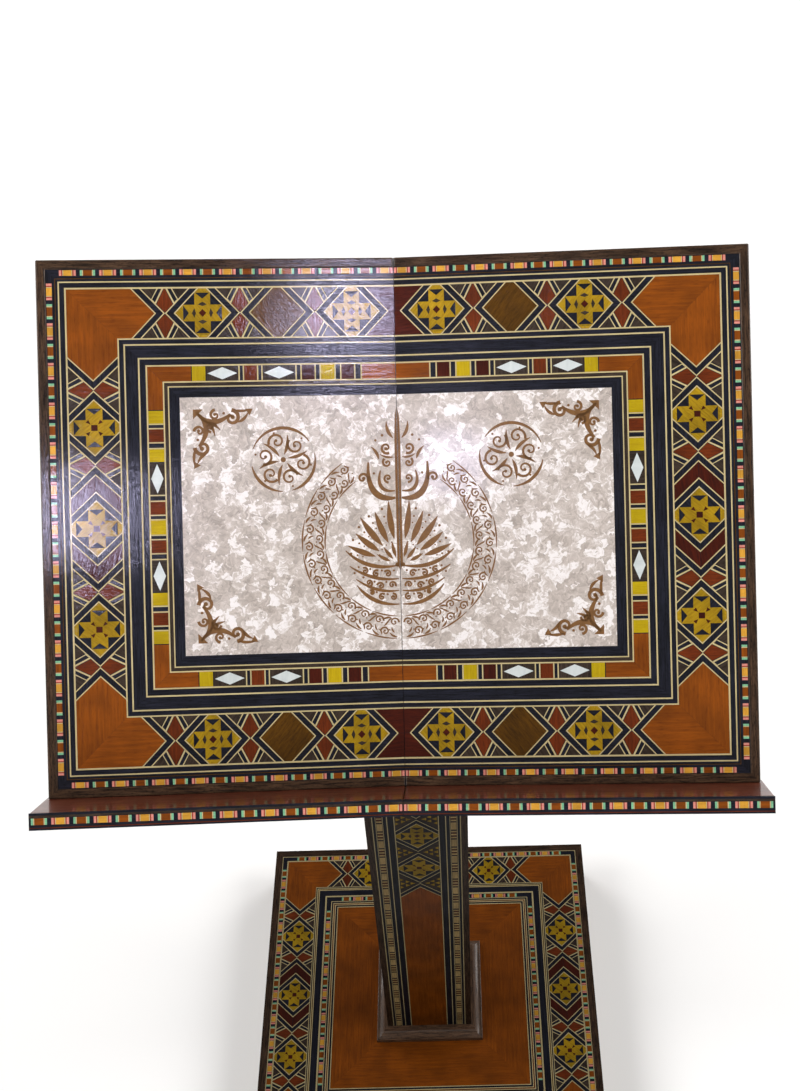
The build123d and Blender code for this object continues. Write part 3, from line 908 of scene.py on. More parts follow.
def zinc_steel():
    """Bright zinc-plated wood screws: a pale metal, slightly clouded."""
    material, tree, shader, spot = new_material("zinc_plated_steel", "Object")
    cloud = add(tree, "ShaderNodeTexNoise", {"Vector": spot, "Scale": per(2.0), "Detail": 3.0})
    join(tree, shader, {
        "Base Color": two_tone(tree, cloud, "#C9C6BC", "#8E8A80"),
        "Roughness": add(tree, "ShaderNodeMapRange", {"Value": cloud, "To Min": 0.25, "To Max": 0.45}),
        "Metallic": 1.0})
    return material


def green_baize():
    """Pressed wool felt under the base: fuzzy, matt, with short fibres about 1 mm long."""
    material, tree, shader, spot = new_material("pressed_wool_felt", "Object")
    fuzz = add(tree, "ShaderNodeTexNoise", {
        "Vector": spot, "Scale": per(1.2), "Detail": 4.0, "Roughness": 0.7})
    wear = add(tree, "ShaderNodeTexNoise", {"Vector": spot, "Scale": per(45.0), "Detail": 2.0})
    blend = add(tree, "ShaderNodeMath", {0: fuzz, 1: wear}, operation="MULTIPLY")
    join(tree, shader, {
        "Base Color": two_tone(tree, blend, "#2C5A3C", "#12281B"),
        "Normal": add(tree, "ShaderNodeBump", {"Height": fuzz, "Strength": 0.6, "Distance": 0.5 * MM}),
        "Roughness": 0.95, "Sheen Weight": 0.4})
    return material


def studio_floor():
    """A plain matt pale floor that glows a little farther out, where it meets the pale room."""
    material, tree, shader, spot = new_material("matt_studio_floor", "Object")
    away = add(tree, "ShaderNodeVectorMath", {0: spot}, operation="LENGTH")
    glow = add(tree, "ShaderNodeMapRange", {
        "Value": away.outputs["Value"], "From Min": 1.2, "From Max": 5.0, "To Min": 0.0, "To Max": 0.8},
        interpolation_type="SMOOTHSTEP")
    join(tree, shader, {
        "Base Color": linear("#F6F5F4"), "Emission Strength": glow, "Roughness": 0.9,
        "Specular IOR Level": 0.1})
    return material


def sawn_beech():
    """Bare sawn beech of the boards and blocks inside the column and the base: pale, matt, flecked."""
    material, tree, shader, spot = new_material("bare_sawn_beech", "Object")
    drawn = add(tree, "ShaderNodeMapping", {"Vector": spot, "Scale": (per(2.4), per(2.4), per(50.0))})
    fibre = add(tree, "ShaderNodeTexNoise", {"Vector": drawn, "Scale": 1.0, "Detail": 3.0})
    join(tree, shader, {
        "Base Color": two_tone(tree, fibre, "#C99C6C", "#9A6C42"),
        "Normal": add(tree, "ShaderNodeBump", {"Height": fibre, "Strength": 0.3, "Distance": 0.3 * MM}),
        "Roughness": 0.7})
    return material


SPECIAL_FINISHES = {
    "sawn_beech": sawn_beech,
    "mother_of_pearl": mother_of_pearl,
    "pearl_chip": pearl_chip,
    "engraved_gold": engraved_gold,
    "zinc_steel": zinc_steel,
    "green_baize": green_baize,
    "studio_floor": studio_floor,
}
# What the woods are called at each tone of painted shade, and the materials already made.
PAINTED_SHADE_TITLES = {1.0: "varnished_", BASE_PAINTED_SHADE: "painted_shade_varnished_", COLUMN_PAINTED_SHADE: "painted_deep_shade_varnished_"}
FINISHES = {}


def finished(name, tone=1.0):
    """The finish with this name and tone, made the first time it is asked for.

    A tone below 1 is the same wood with painted shade on it: a darker colour, and weaker specular and varnish
    reflection.
    """
    key = (name, tone if name in WOODS else 1.0)
    if key not in FINISHES:
        if name in WOODS:
            FINISHES[key] = varnished_wood(PAINTED_SHADE_TITLES[tone] + name, *WOODS[name], depth=tone)
        else:
            FINISHES[key] = SPECIAL_FINISHES[name]()
    return FINISHES[key]


# ---------------------------------------------------------------- solid wood

def read(items, name, width=1, kind=float):
    """One value of every vertex, loop or face of a mesh as an array."""
    values = np.empty(len(items) * width, dtype=kind)
    items.foreach_get(name, values)
    return values.reshape(-1, width) if width > 1 else values


def grain_map(mesh, directions):
    """Lays the grain on a solid piece.

    Each face's first map axis is the grain's direction there, and its second is square to that
    in the face. Faces across the grain show its end, so there the map is drawn close.
    """
    owner = np.repeat(np.arange(len(mesh.polygons)), read(mesh.polygons, "loop_total", kind=np.int32))
    normals = read(mesh.polygons, "normal", 3)
    points = read(mesh.vertices, "co", 3)[read(mesh.loops, "vertex_index", kind=np.int32)]
    along = directions[owner]
    across = np.cross(normals[owner], along)
    length = np.linalg.norm(across, axis=1)
    end = length < 0.35
    spare = np.cross(along, np.array([0.31, 0.95, 0.05]))
    spare /= np.linalg.norm(spare, axis=1)[:, None]
    other = np.cross(along, spare)
    across = np.where(end[:, None], other, across / np.maximum(length, 1e-6)[:, None])
    first = np.where(end, (points * spare).sum(axis=1) * 8.0, (points * along).sum(axis=1))
    second = (points * across).sum(axis=1)
    layer = mesh.uv_layers.new(name="grain")
    layer.data.foreach_set("uv", np.stack([first, second], axis=1).ravel())


def solid_piece(node, finish, grain, edge_radius, mitres=()):
    """A bevelled copy of a CAD solid, merged into flat faces, with the grain along a direction.

    Grain is a direction, or a function from the faces' middles to a direction for each. Mitres
    are planes, each a point and a normal, where a frame's faces are cut so that the grain can turn.
    """
    shape = bmesh.new()
    shape.from_mesh(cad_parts[node].data)
    bmesh.ops.remove_doubles(shape, verts=shape.verts, dist=2e-6)
    bmesh.ops.dissolve_limit(shape, angle_limit=math.radians(0.8), verts=shape.verts, edges=shape.edges)
    for point, normal in mitres:
        everything = shape.verts[:] + shape.edges[:] + shape.faces[:]
        bmesh.ops.bisect_plane(shape, geom=everything, dist=1e-6, plane_co=point, plane_no=normal)
    mesh = bpy.data.meshes.new(node + "_wood")
    shape.to_mesh(mesh)
    shape.free()
    for layer in list(mesh.uv_layers):
        mesh.uv_layers.remove(layer)
    centres = read(mesh.polygons, "center", 3)
    grain_map(mesh, grain(centres) if callable(grain) else np.broadcast_to(np.array(grain), centres.shape))
    mesh.materials.append(finished(finish))
    piece = stand_piece(mesh.name, mesh, [node])
    if edge_radius > 0:
        rounding = piece.modifiers.new("edge rounding", "BEVEL")
        rounding.width = edge_radius
        rounding.segments = 2
        rounding.limit_method = "ANGLE"
        rounding.angle_limit = math.radians(25)
        rounding.use_clamp_overlap = True


def dress_node(node, finish):
    """Gives a CAD solid that keeps its own shape its finish."""
    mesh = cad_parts[node].data
    mesh.materials.clear()
    mesh.materials.append(finished(finish))


# ---------------------------------------------------------------- the pieces of inlay

# Insets of the leaves' bands from the outer edge, in mm.
TILE_FROM, TILE_TO = 7.0, 11.5
STAR_FROM, STAR_TO = 20.8, 55.4
COLOUR_FROM, COLOUR_TO = 75.5, 86.0
PEARL_FROM = 97.5
# Lines from the outer side inward: each line's finish and its width.
OUTER_STRINGING = (
    ("black_wood", 1.6), ("olive_wood", 0.5), ("black_wood", 1.6), ("white_wood", 1.0),
    ("black_wood", 3.4), ("white_wood", 1.2),
)
INNER_STRINGING = (
    ("white_wood", 1.0), ("black_wood", 3.1), ("white_wood", 1.1), ("black_wood", 8.6),
    ("white_wood", 1.1), ("black_wood", 4.1), ("white_wood", 1.1),
)
PEARL_STRINGING = (("white_wood", 1.0), ("ebony_wood", 2.4), ("white_wood", 0.9), ("black_wood", 7.2))
# The colour strips from the seam, or from mid-height, to the corner's orange piece: a block's
# finish and where it ends. A thin separator of white, black and white stands before each.
COLOUR_TOP = (
    ("orange_wood", SEAM, 24.0), ("dark_red_wood", 29.5, 38.5), ("bright_yellow_wood", 43.5, 53.0),
    ("dark_red_wood", 57.5, 66.5), ("shell", 71.0, 94.0), ("red_brown_wood", 98.0, 107.0),
    ("shell", 111.0, 133.5), ("bright_yellow_wood", 134.0, 143.5),
)
COLOUR_EDGE = (
    ("bright_yellow_wood", -5.0, 5.0), ("red_brown_wood", 9.0, 18.0), ("shell", 23.0, 45.5),
    ("bright_yellow_wood", 46.0, 55.0), ("red_brown_wood", 60.0, 69.0), ("bright_yellow_wood", 73.0, 82.0),
)
# The ledge's lines, in mm below its upper edge: each line's finish, top and bottom.
LEDGE_LINES = (
    ("black_wood", -0.05, -1.5), ("ebony_wood", -1.6, -3.1), ("black_wood", -8.2, -9.6),
    ("red_brown_wood", -9.7, -10.2), ("black_wood", -10.3, -11.45),
)
# Where the first tile's middle stands from the seam, how far a shell lozenge keeps from its block's
# edges, how far the pearl plate lies below the slips round it, and the filler in the leaves' joint.
TILE_START = 6.2
SHELL_RIM = 0.9
PLATE_DROP = 0.03
STOPPING_HEIGHT = -0.4
STOPPING_DEPTH = 0.8


def lay_lines(lay, start, lines):
    """Lines side by side from a start inset: lay is called with each one's finish and two insets."""
    at = start
    for finish, width in lines:
        lay(finish, at + LINE_GAP, at + width - LINE_GAP)
        at += width


def leaf_strip(side, outer, inner):
    """Marquetry on a leaf, begun with the black filler under a band that runs round it."""
    strip = Marquetry(leaf_face(side))
    lay_leaf_run(strip, "black_wood", outer, inner, FILLER, FILLER_DEPTH)
    return strip


def leaf_tile_strip(name, side):
    """The thin strip of block tiles inside a leaf's lipping."""
    strip = leaf_strip(side, TILE_FROM, TILE_TO)
    middle = (TILE_FROM + TILE_TO) / 2
    places = tile_places(SEAM, LEAF_WIDTH - TILE_TO, TILE_START)
    for level in (HALF_LEAF - middle, middle - HALF_LEAF):
        lay_tiles(strip, (0.0, level), 0.0, places)
    low = HALF_LEAF - TILE_TO
    lay_tiles(strip, (LEAF_WIDTH - middle, 0.0), QUARTER, tile_places(-low, low, 0.0))
    strip.finish_piece(name + "_tile_strip", "inlay_mosaic")


def leaf_lines(name, side, node, start, end, lines):
    """A leaf's band of straight lines, mitred at the corners."""
    strip = leaf_strip(side, start, end)
    lay_lines(lambda finish, a, b: lay_leaf_run(strip, finish, a, b), start, lines)
    strip.finish_piece(name + "_" + node, "black_stringing")


def leaf_star_band(name, side):
    """A leaf's band of stars, lozenges and crossings, with a corner field at each end of its edge."""
    band = leaf_strip(side, STAR_FROM, STAR_TO)
    middle = (STAR_FROM + STAR_TO) / 2
    top = BandWriter(band, (0.0, HALF_LEAF - middle), 0.0, mirrored=True)
    point = TOP_FIRST_STAR - UNIT_PITCH / 2 - FIELD_GAP
    start = np.array([[SEAM, 0.1], [point, 0.1], [point + LEAN * BAND_HALF, BAND_HALF], [SEAM, BAND_HALF]])
    top.lay("dark_red_wood", flipped(start, along=False), grain=0.1)
    for step, motif in enumerate((top.star, top.crossing, top.plain, top.crossing, top.star, top.crossing)):
        motif(TOP_FIRST_STAR + step * UNIT_PITCH / 2)
    top.corner(TOP_FIRST_STAR + 2.5 * UNIT_PITCH + BORDER, LEAF_WIDTH - STAR_TO, LEAF_WIDTH - STAR_FROM)
    # The outer edge's band runs up the leaf, so it is turned by a quarter. What lies below its
    # middle mirrors what lies above.
    across = (LEAF_WIDTH - middle, 0.0)
    BandWriter(band, across, QUARTER).middle_star()
    ends = BandWriter(band, across, QUARTER, mirrored=True)
    ends.outer_star()
    ends.corner(EDGE_TIP, HALF_LEAF - STAR_FROM, HALF_LEAF - STAR_TO, (0, 2, 1))
    band.finish_piece(name + "_star_band", "inlay_mosaic")


def lay_separator(strip, low, high, level, half, turn):
    """A separator between two blocks: white, black and white across the strip."""
    width = high - low
    white = min(0.9, width * 0.22)
    for finish, a, b in (("white_wood", low, low + white),
                         ("black_wood", low + white + BLOCK_GAP, high - white - BLOCK_GAP),
                         ("white_wood", high - white, high)):
        slip = bar((a, -half), (b, half))
        strip.lay(finish, flipped(moved(slip, level, turn), along=False), grain=turn + QUARTER)


def lay_blocks(strip, blocks, centre, turn, half):
    """Blocks of coloured wood and shell lozenges along a strip, with separators between them.

    Each block has its mirror image beyond the strip's middle, except one that lies across it.
    """
    last = None
    for finish, low, high in blocks:
        if last is not None and low - last > 2.0:
            lay_separator(strip, last + LINE_GAP, low - LINE_GAP, centre, half, turn)
        last = high
        block = bar((low + BLOCK_GAP, -half), (high - BLOCK_GAP, half))
        slips = [("ebony_wood" if finish == "shell" else finish, block, FLUSH)]
        if finish == "shell":
            middle, reach, rise = (low + high) / 2, (high - low) / 2 - SHELL_RIM, half - SHELL_RIM
            chip = [[middle - reach, 0.0], [middle, -rise], [middle + reach, 0.0], [middle, rise]]
            slips.append(("pearl_chip", chip, LET_IN))
        for wood, slip, height in slips:
            placed = moved(slip, centre, turn)
            both = flipped(placed, along=False) if low > -1.0 else placed
            strip.lay(wood, both, height, turn + (0.0 if finish == "orange_wood" else QUARTER))


def leaf_colour_strip(name, side):
    """A leaf's strip of coloured blocks and shell lozenges, with orange pieces at the corners."""
    strip = leaf_strip(side, COLOUR_FROM, COLOUR_TO)
    middle = (COLOUR_FROM + COLOUR_TO) / 2
    half = (COLOUR_TO - COLOUR_FROM) / 2 - BLOCK_GAP
    lay_blocks(strip, COLOUR_TOP, (0.0, HALF_LEAF - middle), 0.0, half)
    lay_blocks(strip, COLOUR_EDGE, (LEAF_WIDTH - middle, 0.0), QUARTER, half)
    near, far = LEAF_WIDTH - COLOUR_TO, LEAF_WIDTH - COLOUR_FROM
    low, high = HALF_LEAF - COLOUR_TO, HALF_LEAF - COLOUR_FROM
    inner, start = low + BLOCK_GAP, 144.1
    level = [[start, inner], [near - BLOCK_GAP, inner], [far - FIELD_GAP, high - BLOCK_GAP],
             [start, high - BLOCK_GAP]]
    strip.lay("orange_wood", flipped(level, along=False))
    inner, outer, start = near + BLOCK_GAP, far - BLOCK_GAP, 82.6
    edge = [[inner, start], [outer, start], [outer, high - FIELD_GAP], [inner, low - BLOCK_GAP]]
    strip.lay("orange_wood", flipped(edge, along=False), grain=QUARTER)
    strip.finish_piece(name + "_colour_strip", "inlay_mosaic")


def pearl_plate(name, side):
    """A leaf's plate of mother-of-pearl with its half of the engraved ornament."""
    plate = Marquetry(leaf_face(side))
    reach, rise = LEAF_WIDTH - PEARL_FROM, HALF_LEAF - PEARL_FROM
    ground = bar((SEAM, -rise), (reach, rise))
    plate.lay("mother_of_pearl", ground, FLUSH - PLATE_DROP, 0.0, INLAY_DEPTH - 2 * PLATE_DROP)
    # The joint between the leaves is stopped with dark filler, so no light shows through it.
    stopping = bar((0.0, -HALF_LEAF + 0.1), (SEAM, HALF_LEAF - 0.1))
    plate.lay("black_wood", stopping, STOPPING_HEIGHT, 0.0, STOPPING_DEPTH)
    engrave_plate(Engraver(plate))
    plate.finish_piece(name + "_pearl_plate", "mother_of_pearl")


def ledge_front(name, side):
    """The tile strip on a ledge half's front edge, between black lines."""
    strip = Marquetry(ledge_face(side))
    ground = bar((LEDGE_SEAM, -LEDGE_THICKNESS), (LEDGE_END, 0.0))
    strip.lay("black_wood", ground, FILLER, 0.0, FILLER_DEPTH)
    for finish, top, bottom in LEDGE_LINES:
        strip.lay(finish, bar((LEDGE_SEAM + BLOCK_GAP, bottom), (LEDGE_END - BLOCK_GAP, top)))
    places = tile_places(LEDGE_SEAM, LEDGE_END, TILE_START + LEDGE_SEAM)
    lay_tiles(strip, (0.0, -5.6), 0.0, places, 4.4)
    strip.finish_piece(name + "_ledge_strip", "inlay_mosaic")


# ---------------------------------------------------------------- column and base inlay

COLUMN_LINES = (
    ("white_wood", 0.9), ("black_wood", 2.2), ("tiles", 6.8), ("black_wood", 3.0), ("white_wood", 0.9),
    ("black_wood", 5.4), ("white_wood", 0.9),
)
COLUMN_BORDER = 6.0
COLUMN_BAND_HALF = 18.9
COLUMN_PITCH = 54.0
COLUMN_STARS = (401.0, 455.0, 509.0, 563.0)
COLUMN_UPRIGHT_STARS = (401.0, 509.0)
TAN_SLOPE = math.tan(SLOPE)


def column_face(name, half, rise, at_axis):
    """One face of the column.

    Half is half its width. The top edge stands at at_axis on the mid-line and climbs by rise for
    each mm across.
    """
    slab = Marquetry(upright_face(QUARTER_TURNS[name], COLUMN_HALF), COLUMN_PAINTED_SHADE)
    low = BASE_TOP

    def upright(a, b):
        """A bar between two distances across, from the base up to the sloping top."""
        return np.array([[a, low], [b, low], [b, at_axis + rise * b], [a, at_axis + rise * a]])

    slab.lay("black_wood", upright(-half, half), FILLER, QUARTER, FILLER_DEPTH)
    at = COLUMN_HALF - COLUMN_BORDER
    slab.lay("dark_walnut", [upright(-half, -at), upright(at, half)], FLUSH, QUARTER)
    for finish, width in COLUMN_LINES:
        a, b = at - LINE_GAP, at - width + LINE_GAP
        if finish == "tiles":
            lay_column_tiles(slab, upright, a, b, at_axis, rise)
        else:
            slab.lay(finish, [upright(-a, -b), upright(b, a)], FLUSH, QUARTER)
        at -= width
    reach = COLUMN_BAND_HALF - BLOCK_GAP
    band = BandWriter(slab, (0.0, 0.0), QUARTER, reach)
    for height in COLUMN_STARS:
        band.star(height, height in COLUMN_UPRIGHT_STARS)
    lower_tip = COLUMN_STARS[0] - COLUMN_PITCH / 2
    upper_tip = COLUMN_STARS[-1] + COLUMN_PITCH / 2
    for height in (lower_tip,) + tuple(z + COLUMN_PITCH / 2 for z in COLUMN_STARS):
        lay_crossing_triangles(band, height)
    lay_field_border(band, lower_tip, -1.0)
    lay_field_border(band, upper_tip, 1.0)
    lean = LEAN * reach
    lower = lower_tip - BORDER - FIELD_GAP
    upper = upper_tip + BORDER + FIELD_GAP
    for edge in (-reach, reach):
        field = [[0.0, low], [edge, low], [edge, lower - lean], [0.0, lower]]
        slab.lay("orange_wood", field, FLUSH, QUARTER)
        field = [[0.0, upper], [edge, upper + lean], [edge, at_axis + rise * edge], [0.0, at_axis]]
        slab.lay("orange_wood", field, FLUSH, QUARTER)
    slab.finish_piece("column_" + name + "_marquetry", "inlay_mosaic")


def lay_column_tiles(slab, upright, outer, inner, at_axis, rise):
    """The strips of plain tiles up both sides of a column face, each between two thin white lines."""
    middle = (outer + inner) / 2
    thin = 0.5
    for side in (-1, 1):
        limit = at_axis + rise * side * middle - 6.0
        places = tile_places(BASE_TOP, limit, BASE_TOP + 20.0)
        lay_tiles(slab, (side * middle, 0.0), QUARTER, places, 5.0, PLAIN_TILES)
        for line in (outer - thin, inner):
            slab.lay("white_wood", upright(*sorted((side * line, side * (line + thin)))), FLUSH, QUARTER)


# The small triangles beside a crossing on the column: along the band and inward from its edge, half
# the width and half the height, in mm.
CROSSING_TRIANGLES = (
    (0.0, 3.0, 2.5, 2.1), (-6.6, 2.1, 2.3, 1.7), (6.6, 2.1, 2.3, 1.7),
    (-3.2, 7.6, 2.3, 2.0), (3.2, 7.6, 2.3, 2.0), (0.0, 12.2, 2.1, 2.2),
)


def lay_crossing_triangles(band, at):
    """The dark triangle on each side of a crossing on the column, with six small yellow ones in it."""
    reach = (band.half - 0.7) / 1.09
    ground = [[0.0, 0.9], [reach, band.half], [-reach, band.half]]
    band.lay("ebony_wood", flipped(ground, along=False), at, grain=QUARTER)
    triangle = np.array([[-1.0, 1.0], [1.0, 1.0], [0.0, -1.0]])
    for along, inward, wide, high in CROSSING_TRIANGLES:
        small = triangle * [wide, high] + [along, band.half - inward]
        band.lay("yellow_wood", flipped(small, along=False), at, LET_IN)


def lay_field_border(band, tip, way):
    """The border round the pointed end of a plain field; the field lies beyond it."""
    lean = LEAN * band.half
    for finish, b, a in reversed(POINT_BORDER):
        slip = np.array([[a, 0.0], [b, 0.0], [b + lean, band.half], [a + lean, band.half]]) * [way, 1.0]
        band.lay(finish, flipped(slip, along=False), tip)


# Insets of the bands on the base's top from its edge, and the lines of its two narrow bands.
BASE_INSETS = (0.0, 8.0, 14.5, 50.5, 62.5, 77.0)
BLACK_BAND_LINES = (
    ("black_wood", 1.2), ("white_wood", 0.9), ("olive_wood", 1.0), ("white_wood", 0.9), ("black_wood", 7.0),
    ("white_wood", 1.0),
)
INNER_STRIP_LINES = (
    ("white_wood", 0.7), ("black_wood", 1.8), ("white_wood", 0.9), ("red_brown_wood", 1.2),
    ("white_wood", 0.9), ("black_wood", 1.9), ("white_wood", 0.9),
)


def base_band(band):
    """Marquetry for one band of the base's top, begun with the black filler under it."""
    slab = Marquetry(base_top_face(), BASE_PAINTED_SHADE)
    lay_ring(slab, "black_wood", BASE_INSETS[band], BASE_INSETS[band + 1], FILLER)
    return slab


def lay_tile_ring(slab, level, spare, width):
    """Strips of tiles along the base's four sides, at a level from its middle."""
    places = tile_places(spare - level, level - spare, 0.0)
    for turn in QUARTER_TURNS.values():
        lay_tiles(slab, moved((0.0, -level), (0.0, 0.0), turn), turn, places, width)


def base_top():
    """The inlay on the base's top: border, tiles, star band, black band, inner strip and field."""
    border = Marquetry(base_top_face(), BASE_PAINTED_SHADE)
    lay_ring(border, "dark_walnut", BASE_INSETS[0], BASE_INSETS[1], 0.0, INLAY_DEPTH)
    border.finish_piece("base_border", "dark_walnut")

    tiles = base_band(1)
    for a, b in ((8.1, 8.7), (13.8, 14.4)):
        lay_ring(tiles, "white_wood", a, b)
    lay_tile_ring(tiles, BASE_HALF - 11.25, 4.0, 4.6)
    tiles.finish_piece("base_tile_strip", "inlay_mosaic")

    stars = base_band(2)
    level = BASE_HALF - (BASE_INSETS[2] + BASE_INSETS[3]) / 2
    inner, outer = BASE_HALF - 49.8, BASE_HALF - 15.2
    for turn in QUARTER_TURNS.values():
        centre = moved((0.0, -level), (0.0, 0.0), turn)
        BandWriter(stars, centre, turn).middle_star()
        # Seen from the middle of the side, the far end of the band has its outer edge on the
        # other hand, so the corner field is mirrored there.
        for back, hand in ((0.0, -1.0), (math.pi, 1.0)):
            run = BandWriter(stars, centre, turn + back)
            run.outer_star()
            run.corner(EDGE_TIP, inner, outer, hand=hand)
    for a, b in ((14.55, 15.15), (49.85, 50.45)):
        lay_ring(stars, "white_wood", a, b)
    stars.finish_piece("base_star_band", "inlay_mosaic")

    band = base_band(3)
    lay_lines(lambda finish, a, b: lay_ring(band, finish, a, b), BASE_INSETS[3], BLACK_BAND_LINES)
    band.finish_piece("base_black_band", "black_stringing")

    inner = base_band(4)
    lay_ring(inner, "white_wood", 62.6, 63.2)
    lay_tile_ring(inner, BASE_HALF - 66.0, 3.0, 4.4)
    lay_lines(lambda finish, a, b: lay_ring(inner, finish, a, b), 68.6, INNER_STRIP_LINES)
    inner.finish_piece("base_inner_strip", "inlay_mosaic")

    field = Marquetry(base_top_face(), BASE_PAINTED_SHADE)
    half = BASE_HALF - BASE_INSETS[5]
    corner = [[0.0, 0.0], [half, -half], [half, half]]
    for turn in QUARTER_TURNS.values():
        field.lay("orange_wood", moved(corner, (0.0, 0.0), turn), 0.0, turn + QUARTER)
    field.finish_piece("base_field", "orange_wood")


def base_side(name, half):
    """One side of the base: border, tiles and lines above and below a star band."""
    slab = Marquetry(upright_face(QUARTER_TURNS[name], BASE_HALF), BASE_PAINTED_SHADE)
    low, high = BASE_SIDE_LOW, BASE_SIDE_HIGH
    middle = (low + high) / 2
    rise = (high - low) / 2
    slab.lay("black_wood", bar((-half, low), (half, high)), FILLER, 0.0, FILLER_DEPTH)

    def level(finish, outer, inner):
        """A line along the side between two insets, and its mirror image."""
        slip = bar((-half, rise - inner), (half, rise - outer))
        slab.lay(finish, flipped(slip, along=False) + [0.0, middle])

    level("dark_walnut", 0.0, 3.6)
    level("white_wood", 3.7, 4.2)
    level("white_wood", 8.2, 8.6)
    lay_lines(level, 8.6, (("black_wood", 1.9), ("white_wood", 1.0)))
    places = tile_places(-half, half, 0.0)
    for side in (-1, 1):
        lay_tiles(slab, (0.0, middle + side * (rise - 6.2)), 0.0, places, 3.7)
    reach = rise - 11.6
    BandWriter(slab, (0.0, middle), 0.0, reach).middle_star()
    tip = EDGE_STAR + 1.5 * UNIT_PITCH
    lean = LEAN * reach
    start = tip + BORDER + FIELD_GAP
    for back in (0.0, math.pi):
        run = BandWriter(slab, (0.0, middle), back, reach)
        run.outer_star()
        run.plain(EDGE_STAR + UNIT_PITCH)
        run.crossing(tip)
        lay_field_border(run, tip, 1.0)
        for edge in (-reach, reach):
            run.lay("orange_wood", [[start, 0.0], [half, 0.0], [half, edge], [start + lean, edge]])
    slab.finish_piece("base_" + name + "_marquetry", "inlay_mosaic")


# ---------------------------------------------------------------- solid wood pieces

LEAF_UP = (0.0, math.cos(SLOPE), math.sin(SLOPE))
ACROSS = (1.0, 0.0, 0.0)


def lipping_grain(side):
    """The grain of a leaf's lipping: along the edge that each face belongs to."""
    face = leaf_face(side)

    def directions(centres):
        """Across for a face of the top or the foot, and up for one of the outer edge."""
        reach = centres / MM - face.origin
        across = reach @ face.along
        up = reach @ face.up
        level = np.abs(up) - HALF_LEAF > across - LEAF_WIDTH
        return np.where(level[:, None], face.along, face.up)

    return directions


def lipping_mitres(side):
    """The planes of the mitres at a lipping's two corners."""
    face = leaf_face(side)
    return [(Vector(face.place(np.array([LEAF_WIDTH, end * HALF_LEAF]), np.array(0.0))),
             Vector(face.along - end * face.up)) for end in (-1, 1)]


def ring_grain(centres):
    """The grain of the moulding round the column's foot: along the side that each face belongs to."""
    level = np.abs(centres[:, 1]) > np.abs(centres[:, 0])
    return np.where(level[:, None], ACROSS, (0.0, 1.0, 0.0))


def lay_stand_finishes():
    """Finishes for the CAD solids that keep their own shape, most of them inside the stand."""
    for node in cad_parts:
        if node.endswith("_screws"):
            dress_node(node, "zinc_steel")
        elif node.endswith("_felt"):
            dress_node(node, "green_baize")
        else:
            dress_node(node, "sawn_beech")


# ---------------------------------------------------------------- sizes and colours a user may change

class StandLooks(bpy.types.PropertyGroup):
    """How the stand's edges, varnish and light look."""

    edge_radius: bpy.props.FloatProperty(
        name="Edge Radius", description="Rounding of the solid wood's edges", default=0.0009,
        min=0.0, max=0.003, unit="LENGTH")
    ledge_radius: bpy.props.FloatProperty(
        name="Ledge Radius", description="Rounding of the ledge's edges", default=0.0011,
        min=0.0, max=0.003, unit="LENGTH")
    varnish_roughness: bpy.props.FloatProperty(
        name="Varnish Roughness", description="How blurred the varnish's reflections are", default=0.07,
        min=0.0, max=1.0, subtype="FACTOR")


class StandStage(bpy.types.PropertyGroup):
    """The floor and the lights round the stand."""

    floor_size: bpy.props.FloatProperty(
        name="Floor Size", description="Width of the square floor", default=60.0, unit="LENGTH")
    room_light: bpy.props.FloatProperty(
        name="Room Light", description="Strength of the even light from all round", default=0.95)
    key_light: bpy.props.FloatProperty(
        name="Key Light", description="Power of each soft light beside the stand, in watts", default=44.0)
    window_light: bpy.props.FloatProperty(
        name="Window Light", description="Power of the small cool lights that glare in the varnish",
        default=0.016)
    window_colour: bpy.props.FloatVectorProperty(
        name="Window Colour", description="Colour of the glare", subtype="COLOR", size=3,
        default=linear("#DCD8FF")[:3])


class STAND_OT_finishes(bpy.types.Operator):
    """Give the CAD solids their finishes"""

    bl_idname = "stand.finishes"
    bl_label = "Solid Finishes"

    def execute(self, context):
        lay_stand_finishes()
        return {"FINISHED"}


class STAND_OT_leaf_inlay(bpy.types.Operator):
    """Lay the bands, lines and strips of both leaves"""

    bl_idname = "stand.leaf_inlay"
    bl_label = "Leaf Inlay"

    def execute(self, context):
        for name, side in SIDES.items():
            leaf_tile_strip(name, side)
            leaf_lines(name, side, "outer_stringing", TILE_TO, STAR_FROM, OUTER_STRINGING)
            leaf_star_band(name, side)
            leaf_lines(name, side, "inner_stringing", STAR_TO, COLOUR_FROM, INNER_STRINGING)
            leaf_colour_strip(name, side)
            leaf_lines(name, side, "pearl_frame", COLOUR_TO, PEARL_FROM, PEARL_STRINGING)
        return {"FINISHED"}


class STAND_OT_pearl_plates(bpy.types.Operator):
    """Lay the plates of mother-of-pearl and engrave them"""

    bl_idname = "stand.pearl_plates"
    bl_label = "Pearl Plates"

    def execute(self, context):
        for name, side in SIDES.items():
            pearl_plate(name, side)
        return {"FINISHED"}


class STAND_OT_leaf_wood(bpy.types.Operator):
    """Make the leaves' cores and lippings, the battens and the saddle"""

    bl_idname = "stand.leaf_wood"
    bl_label = "Leaf Wood"

    def execute(self, context):
        radius = context.scene.stand_looks.edge_radius
        for name, side in SIDES.items():
            solid_piece(name + "_leaf_lipping", "dark_walnut", lipping_grain(side), radius,
                        lipping_mitres(side))
            solid_piece(name + "_leaf_core", "carcass_beech", LEAF_UP, 0.0)
        for node in ("lower_batten", "upper_batten", "head_saddle"):
            grain = LEAF_UP if node == "head_saddle" else ACROSS
            solid_piece(node, "stained_beech", grain, radius)
        return {"FINISHED"}


